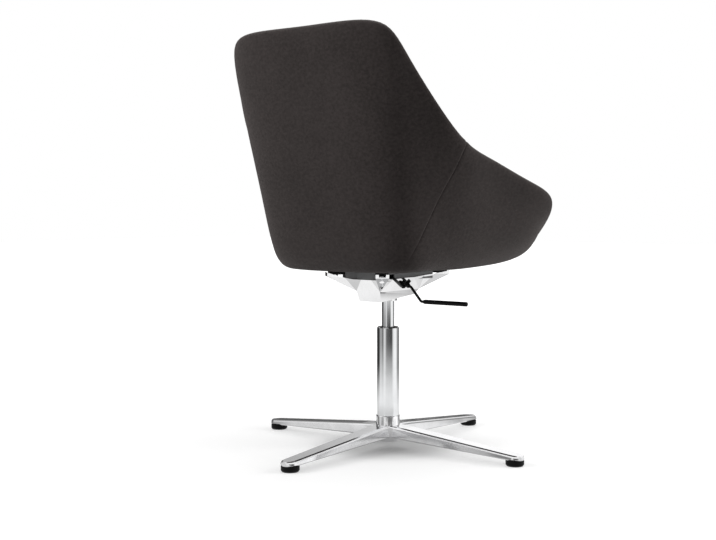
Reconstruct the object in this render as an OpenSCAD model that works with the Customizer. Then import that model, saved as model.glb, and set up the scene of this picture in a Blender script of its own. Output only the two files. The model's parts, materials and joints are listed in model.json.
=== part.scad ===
// Lounge chair: an upholstered bucket shell on a faceted cast support, a gas lift column that
// swivels and rises, and a four-star base on glides. All sizes are in millimetres. The origin is
// on the floor under the column's axis, +Z is up, the chair faces -Y and its lever is at -X.

/* [Base star] */
// Distance from the column's axis to each glide
glide_r = 332; // [300:1:370]
// Half width of an arm where it leaves the hub
arm_root_half = 23; // [20:0.5:26]
// Half width of an arm at its round end
arm_end_half = 19.5; // [18:0.5:22]
// Height of an arm's top beside the hub
arm_root_top = 51; // [46:0.5:60]
// Height of an arm's top at its round end
arm_end_top = 24; // [22:0.5:28]
// Depth of an arm beside the hub
arm_root_depth = 27; // [22:0.5:30]
// Depth of an arm at its round end
arm_end_depth = 11; // [9:0.5:12]
// How much further an arm's side stands out at its foot than at its top
arm_draft = 1.2; // [0:0.1:1.5]
// Width of the slanted shoulder along an arm's top
arm_shoulder = 6; // [3:0.5:8]
// Wall of the hollow arms
arm_wall = 4.5; // [3:0.5:6]
// Radius of the rounded corner between two arms
arm_fillet = 11; // [6:0.5:14]
// Diameter of the hub
hub_d = 54; // [52:1:62]
// Height of the hub's foot above the floor
hub_foot_z = 14; // [11:0.5:18]
// Height of the hub's top, on which the column stands
hub_top_z = 71; // [66:0.5:80]

/* [Glides] */
// Diameter of a glide
glide_d = 39; // [34:0.5:42]
// Diameter of a glide's stud
stud_d = 8; // [6:0.5:10]
// Height of the hard part of a glide above the floor
glide_foot_z = 1.5; // [1:0.5:3]
// Thickness of the soft pad
pad_t = 3.2; // [2.5:0.1:5]

/* [Column] */
// Outer diameter of the column tube
column_d = 50; // [46:1:52]
// Wall of the column tube
column_wall = 2.4; // [2:0.1:3]
// Height of the column's top
column_top_z = 271; // [262:1:274]
// Width of the chamfer on the column's rim
column_chamfer = 2; // [1:0.5:2]
// Diameter of the column's spigot in the hub
spigot_d = 44.6; // [42:0.1:45]
// Length of the guide bush
bush_length = 74; // [50:1:80]

/* [Swivel bearing] */
// Thickness of the floor disc that carries the rod
floor_disc_t = 4; // [3:0.5:5]
// Thickness of a bearing washer
race_t = 2; // [1.5:0.5:2.5]
// Diameter of a bearing ball
ball_d = 3.8; // [3:0.1:4.4]
// Radius of the circle of balls
ball_circle_r = 13; // [12:0.5:14]
// Number of balls
ball_count = 12; // [8:1:14]
// Thickness of the ball cage
cage_t = 2; // [1.5:0.1:2.4]

/* [Gas lift] */
// Diameter of the gas cylinder
cylinder_d = 28; // [27:0.5:29]
// Wall of the gas cylinder
cylinder_wall = 1.5; // [1.2:0.1:1.8]
// Height of the cylinder's foot
cylinder_foot_z = 106; // [105:1:112]
// Diameter of the piston rod
rod_d = 10; // [8:0.5:11]
// Outer diameter of the pressure tube
pressure_tube_d = 23; // [22:0.5:24]
// Wall of the pressure tube
pressure_wall = 1; // [0.8:0.1:1.4]
// Height of the piston's foot
piston_z = 168; // [166:1:180]
// Height of the piston
piston_h = 12; // [8:1:16]
// Height of the rubber buffer
buffer_h = 20; // [10:1:21]
// Travel of the seat downwards from the modelled height
travel_down = 48; // [30:1:48]
// Travel of the seat upwards from the modelled height
travel_up = 42; // [20:1:42]

/* [Seat support] */
// Height of the foot of the support's gas lift boss
boss_foot_z = 330; // [328:0.5:332]
// Radius of the gas lift boss
boss_r = 20; // [18:0.5:22]
// Half width of the crown under the support
crown_x = 33; // [30:0.5:36]
// Half length of the crown under the support
crown_y = 73; // [68:0.5:78]
// Height of the crown's corners
crown_z = 354; // [350:0.5:358]
// Distance of an arm's end from the axis along X
arm_tip_x = 78; // [74:0.5:84]
// Distance of an arm's end from the axis along Y
arm_tip_y = 124; // [118:0.5:130]
// Width of an arm's end
arm_tip_w = 29; // [24:0.5:32]
// Height of an arm's end face
arm_tip_h = 8; // [5:0.5:10]
// Wall of the support's pocket
support_wall = 7; // [5:0.5:9]
// Distance of a shell screw from the axis along X
screw_x = 66; // [64:0.5:68]
// Distance of a shell screw from the axis along Y
screw_y = 110; // [106:0.5:114]
// Diameter of a shell screw
screw_d = 6; // [5:0.5:7]

/* [Shell plate] */
// Half width of the plate
plate_x = 54; // [50:0.5:54]
// Half length of the plate
plate_y = 80; // [76:0.5:80]
// Sheet thickness of the plate
plate_t = 2.5; // [1.5:0.5:3]

/* [Lever] */
// Diameter of the lever's wire
wire_d = 6; // [5:0.5:7]
// Distance of the lever's pivot up the support's sloping side
pivot_rise = 19.5; // [17:0.5:22]
// Distance of the grip's outer end from the column's axis
grip_end_x = 202; // [180:1:230]
// Length of the grip
grip_length = 114; // [80:1:116]
// Diameter of the grip
grip_d = 10; // [9:0.5:12]
// Height of the grip's axis
grip_z = 330.5; // [326:0.5:336]
// Lift of the lever in degrees
lever_lift = 4; // [2:0.5:5]

/* [Bucket shell] */
// Height of the shell's underside at its middle
underside_z = 398; // [397:0.5:402]
// Height of the top of the back
back_top_z = 907; // [860:1:940]
// Distance of the back's top behind the column's axis
back_top_y = 303; // [285:1:320]
// Half width of the back near its top corners
back_half = 215; // [200:1:230]
// Height of the bend where the back's edge turns into the armrest
bend_z = 662; // [640:1:680]
// Half width over the armrests' front ends
arms_half = 330; // [310:1:345]
// Height of the armrests' front ends
arms_z = 568; // [550:1:590]
// Distance of the armrests' front ends before the column's axis
arms_front_y = 185; // [170:1:200]
// Height of the front lip
lip_z = 448; // [444:1:460]
// Distance of the front lip before the column's axis
lip_y = 300; // [285:1:310]
// Half width of the underside
floor_half = 196; // [185:1:205]
// Distance of the underside's rear edge behind the column's axis
floor_back_y = 195; // [180:1:205]
// Distance of the underside's front edge before the column's axis
floor_front_y = 291; // [280:1:300]

/* [Upholstery] */
// Thickness of the outer cover with its padding
cover_t = 8; // [6:0.5:10]
// Thickness of the moulded inner board
board_t = 8.5; // [7:0.1:10]
// Thickness of the upholstered wall
wall_t = 40; // [36:1:46]
// Height of the inner pad's floor above the underside
pad_floor_t = 36; // [32:1:40]
// Gap between two layers
layer_gap = 0.9; // [0.6:0.1:1]
// Gap between the cushion's edge and the inner pad
cushion_gap = 8; // [4:1:14]
// Height of the cushion's crown above the inner pad's floor
cushion_crown = 46; // [36:1:56]
// Height of the cushion's sewn edge above the inner pad's floor
cushion_edge = 26; // [18:1:32]

/* [Hidden] */
$fn = 48;
// Clearances: seated pieces of one body, and running fits
fit = 0.15;
run = 0.05;
seat_gap = 0.3;
quarter = [0, 90, 180, 270];

// Colours of the finishes
chrome_c = [0.86, 0.87, 0.88];
steel_c = [0.62, 0.63, 0.65];
black_c = [0.06, 0.06, 0.06];
plate_c = [0.2, 0.2, 0.21];
fabric_c = [0.23, 0.21, 0.21];
foam_c = [0.3, 0.28, 0.28];
wood_c = [0.66, 0.52, 0.36];
brass_c = [0.72, 0.6, 0.3];

// Bearing stack, from the column's foot upwards
spigot_r = spigot_d / 2;
floor_lip_t = 3;
floor_disc_z = hub_foot_z + floor_lip_t;
race_z = floor_disc_z + floor_disc_t;
balls_z = race_z + race_t + 0.1 + ball_d / 2;
upper_race_z = balls_z + ball_d / 2 + 0.1;
flange_z = upper_race_z + race_t;
flange_h = 4;
flange_r = 9;
rod_r = rod_d / 2;
race_r = ball_circle_r + ball_d / 2 + 3;
disc_r = spigot_r - column_wall - fit;

// Gas lift
cylinder_r = cylinder_d / 2;
cylinder_bore_r = cylinder_r - cylinder_wall;
taper_foot_z = boss_foot_z + 6;
cylinder_top_z = boss_foot_z + 42;
taper_drop = 0.6;
pressure_r = pressure_tube_d / 2;
pressure_bore_r = pressure_r - pressure_wall;
gland_h = 14;
gland_spigot_h = 4;
valve_h = 30;
valve_z = cylinder_top_z - valve_h;
pin_r = 2;
button_r = 4;
button_h = 5;

// Seat support
rim_z = crown_z + 26;
tip_z = underside_z - 10;
plate_seat_z = rim_z - 1;
plate_top_z = underside_z - seat_gap;
// How far the curved floor of the shell has risen at the screws
screw_rise = 2.6;
boss_top_z = underside_z + screw_rise - 1.4;
crown_foot_drop = 23;
wire_r = wire_d / 2;
lever_tip_z = plate_top_z - plate_t - wire_r - 4.2;
pin_top_z = lever_tip_z - wire_r - seat_gap;
clip_w = 4;
strap_t = 3.4;
clip_ys = [-8, 10];
side_lean = 23;
// How much higher than the rim's front and rear the rim's sides stand, as a share of its height
side_top = 1.15;
// Line of the support's side in the XZ plane, and the lever's pivot beside it
side_up = unit2([-side_lean, rim_z - crown_z]);
side_out = [-side_up[1], side_up[0]];
pivot = [-crown_x, crown_z] + pivot_rise * side_up + (wire_r + 2.1 + seat_gap) * side_out;
entry_y = [50, 77];

// Shell layers, as depths below the outer surface
board_from = cover_t + layer_gap;
board_to = board_from + board_t;
pad_from = board_to + layer_gap;
apex_in = 20;
pad_floor_z = underside_z + pad_floor_t;

function bounded(v, low, high) = max(low, min(high, v));
function mirrored(p, sx, sy) = [sx * p[0], sy * p[1], p[2]];
function mix(a, b, t) = a + (b - a) * t;
// Faces are written anticlockwise seen from outside and turned round for the solid
function turned(faces) = [for (f = faces) [for (i = [len(f) - 1:-1:0]) f[i]]];
function unit2(v) = v / norm(v);

// Uniform cubic B-spline weights at fraction f of a span
function weights(f) = [pow(1 - f, 3) / 6, (3 * pow(f, 3) - 6 * f * f + 4) / 6,
    (-3 * pow(f, 3) + 3 * f * f + 3 * f + 1) / 6, pow(f, 3) / 6];
function blend(points, w, at) = let(n = len(points))
    w[0] * points[(at + n - 1) % n] + w[1] * points[at % n]
    + w[2] * points[(at + 1) % n] + w[3] * points[(at + 2) % n];
// Closed curve through a loop of control points, sampled n times
function closed_curve(points, n) = [for (i = [0:n - 1])
    let(s = i * len(points) / n, a = floor(s)) blend(points, weights(s - a), a)];
// Open curve that starts and ends on its end points, read at the places in list "at"
function open_curve(points, at) = let(
    last = len(points) - 1,
    all = concat([2 * points[0] - points[1]], points, [2 * points[last] - points[last - 1]]))
    [for (s = at) let(a = min(floor(s), last - 1), w = weights(s - a))
        w[0] * all[a] + w[1] * all[a + 1] + w[2] * all[a + 2] + w[3] * all[a + 3]];

// Solid between rings of equal point count, closed by flat ends
module loft(rings) {
    n = len(rings[0]);
    m = len(rings);
    sides = [for (k = [0:m - 2]) for (i = [0:n - 1]) let(j = (i + 1) % n)
        each [[k * n + i, k * n + j, (k + 1) * n + j], [k * n + i, (k + 1) * n + j, (k + 1) * n + i]]];
    ends = [[for (i = [n - 1:-1:0]) i], [for (i = [0:n - 1]) (m - 1) * n + i]];
    polyhedron([for (r = rings) each r], turned(concat(sides, ends)), convexity = 6);
}

// Box with eight free corners: four of the foot and four of the top, anticlockwise from above
module wedge(foot, top) loft([foot, top]);
function rect(x0, x1, y0, y1, za, zb) =
    [[x0, y0, za], [x1, y0, za], [x1, y1, zb], [x0, y1, zb]];

// Round tube along a path, with its ends cut square
function path_dir(p, i) = let(n = len(p) - 1,
    a = i == 0 ? p[1] - p[0] : unit2(p[i] - p[i - 1]),
    b = i == n ? p[n] - p[n - 1] : unit2(p[min(i + 1, n)] - p[i]))
    unit2(i == 0 ? a : (i == n ? b : a + b));
module tube(path, r, side, sides = 12) {
    loft([for (i = [0:len(path) - 1]) let(
        d = path_dir(path, i),
        u = unit2(cross(d, side)),
        v = cross(d, u))
        [for (k = [0:sides - 1]) path[i] + r * (cos(k * 360 / sides) * u + sin(k * 360 / sides) * v)]]);
}
// Corner points of a path replaced by round bends of radius r
function bends(p, r, steps = 4) = [for (i = [0:len(p) - 1])
    each (i == 0 || i == len(p) - 1) ? [p[i]] :
        let(a = unit2(p[i - 1] - p[i]), b = unit2(p[i + 1] - p[i]),
            reach = min(r, norm(p[i - 1] - p[i]) * 0.45, norm(p[i + 1] - p[i]) * 0.45))
        [for (k = [0:steps]) let(t = k / steps)
            p[i] + reach * (pow(1 - t, 2) * a + t * t * b)]];

module ring(r_out, r_in, h) {
    difference() {
        cylinder(r = r_out, h = h);
        translate([0, 0, -1]) cylinder(r = r_in, h = h + 2);
    }
}

// Base star
function arm_at(a, b, r, last = 1) = mix(a, b, bounded((r - hub_d / 2) / (glide_r - hub_d / 2), 0, last));
// Section of an arm at radius r and half width w, anticlockwise seen from its end
function arm_section(r, w, inset = 0, sink = 0) = let(
    top = arm_at(arm_root_top, arm_end_top, r, 1.1) - inset,
    foot = arm_at(arm_root_top - arm_root_depth, arm_end_top - arm_end_depth, r) - sink,
    half = w - inset,
    s = min(arm_shoulder, half * 0.45),
    toe = min(2.5, half * 0.2),
    wide = half + arm_draft * min(1, half / arm_end_half))
    [[r, -wide + toe, foot], [r, wide - toe, foot], [r, wide, foot + toe], [r, half, top - s * 0.7],
        [r, half - s * 0.35, top - s * 0.28], [r, half - s, top], [r, -half + s, top],
        [r, -half + s * 0.35, top - s * 0.28], [r, -half, top - s * 0.7], [r, -wide, foot + toe]];
module base_arm() {
    straight = [10, 60, 120, 200, 270];
    round_end = [0:12:84];
    loft(concat(
        [for (r = straight) arm_section(r, arm_at(arm_root_half, arm_end_half, r))],
        [for (a = round_end) arm_section(glide_r + arm_end_half * sin(a), arm_end_half * cos(a))]));
}
module arm_hollow() {
    start = hub_d / 2 + 6;
    finish = glide_r - arm_end_half - 8;
    for (side = [-1, 1]) {
        half_rib = 2;
        loft([for (r = [start, finish]) let(
            w = arm_at(arm_root_half, arm_end_half, r) - arm_wall,
            top = arm_at(arm_root_top, arm_end_top, r) - arm_wall,
            y0 = side > 0 ? half_rib : -w,
            y1 = side > 0 ? w : -half_rib)
            [[r, y0, 0], [r, y1, 0], [r, y1, top - 2], [r, mix(y0, y1, 0.5), top - 0.5], [r, y0, top - 2]]]);
    }
}
// Rounded corner between two arms, sunk slightly into their sides
module arm_corner() {
    w = arm_root_half - 0.5;
    foot = arm_root_top - arm_root_depth + 2;
    translate([0, 0, foot]) linear_extrude(arm_root_top - arm_shoulder + 1 - foot) difference() {
        square(w + arm_fillet);
        translate([w + arm_fillet, w + arm_fillet]) circle(r = arm_fillet);
    }
}
module base_star() color(chrome_c) {
    difference() {
        union() {
            translate([0, 0, hub_foot_z]) cylinder(d = hub_d, h = hub_top_z - hub_foot_z - 1);
            translate([0, 0, hub_top_z - 1]) cylinder(d1 = hub_d, d2 = hub_d - 2, h = 1);
            for (a = quarter) rotate(a) base_arm();
            for (a = quarter) rotate(a) arm_corner();
        }
        translate([0, 0, -10]) cylinder(r = spigot_r + fit, h = hub_top_z + 20);
        translate([0, 0, -10]) cylinder(r = spigot_r + fit + 1, h = hub_foot_z + 10.6);
        for (a = quarter) rotate(a) {
            arm_hollow();
            translate([glide_r, 0, 0]) cylinder(d = stud_d + 2 * fit, h = arm_end_top - 3, $fn = 32);
        }
    }
}

// Glides
glide_top_z = arm_end_top - arm_end_depth - seat_gap;
module glide_studs() color(steel_c)
    for (a = quarter) rotate(a) translate([glide_r, 0, pad_t + 2])
        cylinder(d = stud_d, h = arm_end_top - 3.2 - pad_t - 2, $fn = 32);
module glide_bodies() color(black_c)
    for (a = quarter) rotate(a) translate([glide_r, 0, 0]) difference() {
        rotate_extrude() polygon([[0, glide_foot_z], [glide_d / 2 - 1.5, glide_foot_z],
            [glide_d / 2, glide_foot_z + 1.5], [glide_d / 2, glide_top_z - 1],
            [glide_d / 2 - 1, glide_top_z], [0, glide_top_z]]);
        translate([0, 0, glide_foot_z - 1]) cylinder(d = glide_d - 4, h = pad_t - glide_foot_z + 1);
        translate([0, 0, pad_t + 1.8]) cylinder(d = stud_d + 2 * fit, h = glide_top_z, $fn = 32);
    }
module glide_pads() color([0.3, 0.3, 0.3])
    for (a = quarter) rotate(a) translate([glide_r, 0, 0])
        cylinder(d = glide_d - 4 - 2 * fit, h = pad_t);

// Column
bush_foot_z = column_top_z - bush_length;
bush_r = column_d / 2 - column_wall;
module column_tube() color(chrome_c) {
    r = column_d / 2;
    c = column_chamfer;
    rotate_extrude() polygon([[spigot_r - column_wall, hub_foot_z + floor_lip_t],
        [spigot_r - column_wall - 3, hub_foot_z + floor_lip_t], [spigot_r - column_wall - 3, hub_foot_z],
        [spigot_r, hub_foot_z], [spigot_r, hub_top_z], [r, hub_top_z],
        [r, column_top_z - c], [r - c + 0.4, column_top_z], [bush_r, column_top_z],
        [bush_r, bush_foot_z], [bush_r - 1, bush_foot_z], [bush_r - 1, hub_top_z + 6],
        [spigot_r - column_wall, hub_top_z]]);
}
module guide_bush() color(black_c)
    translate([0, 0, bush_foot_z]) ring(bush_r - fit, cylinder_r + run, bush_length - 1.2);
module column_floor() color(steel_c)
    translate([0, 0, floor_disc_z]) ring(disc_r, rod_r + run, floor_disc_t);

// Swivel bearing
module race(z) translate([0, 0, z]) ring(race_r, rod_r + seat_gap, race_t);
module lower_race() color(steel_c) race(race_z);
module upper_race() color(steel_c) race(upper_race_z);
module bearing_cage() color(brass_c)
    translate([0, 0, balls_z - cage_t / 2]) difference() {
        ring(race_r - 0.5, rod_r + 1, cage_t);
        for (i = [0:ball_count - 1]) rotate(i * 360 / ball_count) translate([ball_circle_r, 0, -1])
            cylinder(d = ball_d + 0.4, h = cage_t + 2, $fn = 24);
    }
module bearing_balls() color(chrome_c)
    for (i = [0:ball_count - 1]) rotate(i * 360 / ball_count) translate([ball_circle_r, 0, balls_z])
        sphere(d = ball_d, $fn = 16);

// Piston rod
rod_foot_z = hub_foot_z - 1;
clip_t = 1.2;
clip_z = floor_disc_z - clip_t - 0.4;
groove = 0.8;
module piston_rod() color(steel_c) difference() {
    union() {
        translate([0, 0, rod_foot_z]) cylinder(r = rod_r, h = piston_z + piston_h + 4 - rod_foot_z);
        translate([0, 0, flange_z]) cylinder(r = flange_r, h = flange_h);
    }
    translate([0, 0, clip_z - 0.1]) ring(rod_r + 1, rod_r - groove, clip_t + 0.2);
}
module rod_clip() color(steel_c) translate([0, 0, clip_z]) difference() {
    ring(rod_r + 3, rod_r - groove + 0.1, clip_t);
    translate([0, -rod_r * 0.7, -1]) cube([rod_r + 6, rod_r * 1.4, clip_t + 2]);
}
module bump_stop() color(black_c)
    translate([0, 0, flange_z + flange_h]) difference() {
        rotate_extrude() polygon([[0, 0], [flange_r, 0], [flange_r, buffer_h * 0.35],
            [flange_r - 1.5, buffer_h * 0.5], [flange_r, buffer_h * 0.65], [flange_r - 1, buffer_h],
            [0, buffer_h]]);
        translate([0, 0, -1]) cylinder(r = rod_r + fit, h = buffer_h + 2);
    }
module piston() color(black_c) translate([0, 0, piston_z]) difference() {
    cylinder(r = pressure_bore_r - 0.1, h = piston_h);
    translate([0, 0, -1]) cylinder(r = rod_r + fit, h = piston_h + 2);
    for (z = [piston_h * 0.3, piston_h * 0.6]) translate([0, 0, z])
        ring(pressure_bore_r + 1, pressure_bore_r - 1, piston_h * 0.1);
}

// Gas cylinder
module gas_cylinder() color(chrome_c) {
    taper_r = cylinder_r - taper_drop;
    rotate_extrude() polygon([[cylinder_bore_r, cylinder_foot_z], [cylinder_r, cylinder_foot_z],
        [cylinder_r, taper_foot_z], [taper_r, cylinder_top_z], [cylinder_bore_r, cylinder_top_z]]);
}
module pressure_tube() color(steel_c) {
    foot = cylinder_foot_z + gland_h;
    translate([0, 0, foot]) ring(pressure_r, pressure_bore_r, valve_z - foot);
}
module cylinder_gland() color(black_c) translate([0, 0, cylinder_foot_z]) difference() {
    union() {
        cylinder(r = cylinder_bore_r - fit, h = gland_h);
        cylinder(r = pressure_bore_r - fit, h = gland_h + gland_spigot_h);
    }
    translate([0, 0, -1]) cylinder(r = rod_r + run, h = gland_h + gland_spigot_h + 2);
}
module valve_housing() color(brass_c) translate([0, 0, valve_z]) difference() {
    union() {
        cylinder(r = cylinder_bore_r - fit, h = valve_h);
        translate([0, 0, -gland_spigot_h]) cylinder(r = pressure_bore_r - fit, h = gland_spigot_h + 1);
    }
    translate([0, 0, -gland_spigot_h + 3]) cylinder(r = pin_r + run, h = valve_h + gland_spigot_h);
}
pin_foot_z = valve_z + 6;
module release_pin() color(steel_c) {
    translate([0, 0, pin_foot_z]) cylinder(r = pin_r, h = pin_top_z - pin_foot_z - 1);
    translate([0, 0, pin_top_z - button_h]) cylinder(r = button_r, h = button_h - 1);
    translate([0, 0, pin_top_z - 1]) cylinder(r1 = button_r, r2 = button_r - 1, h = 1);
}

// Seat support: one quarter's corner points, mirrored four times and joined by facets
tip_dir = unit2([arm_tip_x - crown_x, arm_tip_y - crown_y]);
tip_side = [-tip_dir[1], tip_dir[0]] * arm_tip_w / 2;
function foot_y(sy) = sy > 0 ? crown_y - 7 : crown_y - 15;
function foot_drop(sy) = sy > 0 ? crown_foot_drop : crown_foot_drop / 2;
function flank_rise(sy) = sy > 0 ? 2 : 6.5;
function quarter_points(sy) = [
    [crown_x, crown_y, crown_z],
    [crown_x - 3, foot_y(sy), crown_z - foot_drop(sy)],
    [14, crown_y + 8, rim_z],
    [crown_x - 1, crown_y + 15, rim_z + 0.5],
    [crown_x + 11, crown_y + 27, rim_z + 4],
    [arm_tip_x + tip_side[0], arm_tip_y + tip_side[1], tip_z],
    [arm_tip_x - tip_side[0], arm_tip_y - tip_side[1], tip_z],
    [arm_tip_x + tip_side[0], arm_tip_y + tip_side[1], tip_z + arm_tip_h],
    [arm_tip_x - tip_side[0], arm_tip_y - tip_side[1], tip_z + arm_tip_h],
    [crown_x + 33, crown_y + 15, rim_z + 2.5 + flank_rise(sy)],
    [crown_x + 25, crown_y - 14, rim_z + flank_rise(sy)],
    [crown_x + side_lean * side_top, 18, crown_z + (rim_z - crown_z) * side_top]];
function quarter_facets() = [[0, 5, 6], [0, 4, 5], [0, 3, 4], [0, 2, 3], [0, 6, 9], [0, 9, 10],
    [0, 10, 11], [5, 7, 8], [5, 8, 6], [4, 7, 5], [9, 6, 8], [4, 9, 8], [4, 8, 7]];
corners = [[1, 1], [-1, 1], [-1, -1], [1, -1]];
module faceted_block() {
    n = 12;
    centre = 4 * n;
    points = concat([for (c = corners) for (p = quarter_points(c[1])) mirrored(p, c[0], c[1])],
        [[0, 0, rim_z + 1]]);
    fans = [for (q = [0:3]) for (f = quarter_facets()) let(g = [for (i = f) q * n + i])
        q % 2 == 0 ? g : [g[2], g[1], g[0]]];
    // Facets that join a quarter to the next across the rear, the sides and the front
    rear = [[0, n, n + 2], [0, n + 2, 2], [0, 1, n + 1], [0, n + 1, n]];
    front = [for (f = rear) [for (i = f) 2 * n + i]];
    left = [[n, 2 * n, 2 * n + 11], [n, 2 * n + 11, n + 11], [n, n + 1, 2 * n + 1], [n, 2 * n + 1, 2 * n]];
    right = [[3 * n, 0, 11], [3 * n, 11, 3 * n + 11], [3 * n, 3 * n + 1, 1], [3 * n, 1, 0]];
    foot = [[1, 3 * n + 1, 2 * n + 1], [1, 2 * n + 1, n + 1]];
    rim = [11, 10, 9, 4, 3, 2, n + 2, n + 3, n + 4, n + 9, n + 10, n + 11, 2 * n + 11, 2 * n + 10,
        2 * n + 9, 2 * n + 4, 2 * n + 3, 2 * n + 2, 3 * n + 2, 3 * n + 3, 3 * n + 4, 3 * n + 9,
        3 * n + 10, 3 * n + 11];
    deck = [for (i = [0:len(rim) - 1]) [centre, rim[i], rim[(i + 1) % len(rim)]]];
    polyhedron(points, turned(concat(fans, rear, front, left, right, foot, deck)), convexity = 10);
}
// Outline of the plate: a rectangle with an ear along each arm, moved out by "grow"
function plate_quarter() = [[plate_x, plate_y - 24], [plate_x + 8, plate_y + 6],
    [plate_x - 9, plate_y + 17], [plate_x - 26, plate_y]];
function plate_loop() = let(q = plate_quarter(), n = len(q) - 1) concat(
    q, [for (i = [n:-1:0]) [-q[i][0], q[i][1]]],
    [for (i = [0:n]) -q[i]], [for (i = [n:-1:0]) [q[i][0], -q[i][1]]]);
module plate_outline(grow = 0) {
    loop = plate_loop();
    n = len(loop);
    polygon([for (i = [0:n - 1]) let(
        a = unit2(loop[i] - loop[(i + n - 1) % n]),
        b = unit2(loop[(i + 1) % n] - loop[i]),
        out_a = [a[1], -a[0]],
        out_b = [b[1], -b[0]])
        loop[i] + grow * (out_a + out_b) / (1 + out_a * out_b)]);
}
module arm_channel() {
    half = arm_tip_w / 2 - 4.5;
    reach = norm([arm_tip_x - crown_x, arm_tip_y - crown_y]);
    deep = tip_z + 2.2;
    translate([crown_x, crown_y, 0]) rotate(atan2(tip_dir[1], tip_dir[0]) - 90)
        wedge(rect(-half + 3, half - 3, 22, reach + 5, deep - 11, deep + 1),
            rect(-half, half, 22, reach + 5, deep + 20, deep + 20));
}
module seat_support() color(chrome_c) {
    w = support_wall;
    mid_z = crown_z + 4;
    difference() {
        union() {
            difference() {
                faceted_block();
                // Pocket, deep at the crown and wide at the rim
                wedge(rect(-crown_x + w, crown_x - w, -crown_y + 21, crown_y - 13, crown_z - 5, crown_z - 15),
                    rect(-crown_x + w, crown_x - w, -crown_y + w, crown_y - w, mid_z, mid_z));
                wedge(rect(-crown_x + w, crown_x - w, -crown_y + w, crown_y - w, mid_z - 1, mid_z - 1),
                    rect(-plate_x + 5, plate_x - 5, -plate_y + 6, plate_y - 6, rim_z + 8, rim_z + 8));
                // Channel along each arm, open at its end
                for (sx = [0, 1]) mirror([sx, 0, 0]) for (sy = [0, 1]) mirror([0, sy, 0]) arm_channel();
            }
            translate([0, 0, boss_foot_z]) cylinder(r = boss_r, h = cylinder_top_z - boss_foot_z - 2);
            for (y = [-1, 1]) translate([-2, y > 0 ? boss_r - 2 : -crown_y + 3, crown_z - 4])
                cube([4, crown_y - boss_r - 1, 16]);
            for (c = corners) translate([c[0] * screw_x, c[1] * screw_y, tip_z])
                cylinder(d = screw_d + 10, h = boss_top_z - tip_z);
        }
        // Flat seat for the shell plate
        translate([0, 0, plate_seat_z]) linear_extrude(40) difference() {
            plate_outline(fit);
            for (c = corners) translate([c[0] * screw_x, c[1] * screw_y]) circle(d = screw_d + 10);
        }
        // Tapered seat of the gas cylinder
        translate([0, 0, boss_foot_z - 1]) cylinder(r = cylinder_r + fit, h = taper_foot_z - boss_foot_z + 1);
        translate([0, 0, taper_foot_z])
            cylinder(r1 = cylinder_r + fit, r2 = cylinder_r - taper_drop + fit, h = cylinder_top_z - taper_foot_z);
        // Screw holes with their counterbores
        for (c = corners) translate([c[0] * screw_x, c[1] * screw_y, 0]) {
            translate([0, 0, tip_z - 30]) cylinder(d = screw_d + 4.6, h = 30);
            translate([0, 0, tip_z - 1]) cylinder(d = screw_d + 0.6, h = 30, $fn = 32);
        }
    }
}
module shell_plate() color(plate_c) {
    difference() {
        translate([0, 0, plate_seat_z]) linear_extrude(plate_top_z - plate_seat_z) plate_outline();
        translate([0, 0, plate_seat_z - 1])
            linear_extrude(plate_top_z - plate_seat_z - plate_t + 1) plate_outline(-plate_t);
        // Way in for the lever
        translate([-plate_x - 14, entry_y[0], plate_seat_z - 1])
            cube([plate_x - 27, entry_y[1] - entry_y[0], plate_top_z - plate_seat_z - plate_t - 1]);
    }
}

// Screws and inserts that hold the shell
screw_head_h = 4;
screw_end_z = underside_z + board_to + screw_rise - 1.6;
module support_screws() color(black_c)
    for (c = corners) translate([c[0] * screw_x, c[1] * screw_y, 0]) difference() {
        union() {
            translate([0, 0, tip_z - screw_head_h]) cylinder(d = screw_d + 4, h = screw_head_h);
            translate([0, 0, tip_z - 0.5]) cylinder(d = screw_d, h = screw_end_z - tip_z + 0.5, $fn = 32);
        }
        translate([0, 0, tip_z - screw_head_h - 1]) cylinder(d = screw_d * 0.7, h = 3.4, $fn = 6);
    }
module shell_inserts() color(brass_c)
    for (c = corners) translate([c[0] * screw_x, c[1] * screw_y, underside_z + screw_rise + board_from + 0.6])
        ring(screw_d / 2 + 2.5, screw_d / 2 + fit, board_t - 2);

// Lever
grip_in_x = grip_end_x - grip_length;
lever_y = clip_ys[0] - 6.5;
function lever_in_path() = [[5, 0, lever_tip_z], [-22, 26, lever_tip_z], [-plate_x + 4, 59, lever_tip_z + 1],
    [-crown_x - 31, 71, lever_tip_z + 1], [pivot[0] - 15, 60, pivot[1] + 15.5], [pivot[0], clip_ys[1] + 8, pivot[1]],
    [pivot[0], clip_ys[1], pivot[1]]];
function lever_out_path() = [[pivot[0], clip_ys[0] + 3.5, pivot[1]], [pivot[0], lever_y, pivot[1]],
    [-grip_in_x + 7, lever_y, grip_z], [-grip_in_x - 8, lever_y, grip_z]];
module height_lever() color(black_c) {
    tube(bends(lever_in_path(), 9), wire_r - 0.04, [1, 0.3, 2]);
    tube(bends(lever_out_path(), 7), wire_r - 0.04, [1, 1, -1]);
    translate([pivot[0], clip_ys[0] - 2.2, pivot[1]]) rotate([-90, 0, 0])
        cylinder(r = wire_r, h = clip_ys[1] - clip_ys[0] + 5.2);
    translate([-grip_end_x + 6, lever_y, grip_z]) rotate([0, 90, 0]) cylinder(r = wire_r, h = grip_length - 5);
}
module lever_grip() color(black_c)
    translate([-grip_end_x, lever_y, grip_z]) rotate([0, 90, 0]) difference() {
        rotate_extrude() polygon([[0, 0], [grip_d / 2 - 1.5, 0], [grip_d / 2 - 0.4, 0.5], [grip_d / 2, 1.6],
            [grip_d / 2, grip_length - 3], [grip_d / 2 - 1, grip_length], [0, grip_length]]);
        translate([0, 0, 5]) cylinder(r = wire_r + fit, h = grip_length);
    }
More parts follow.
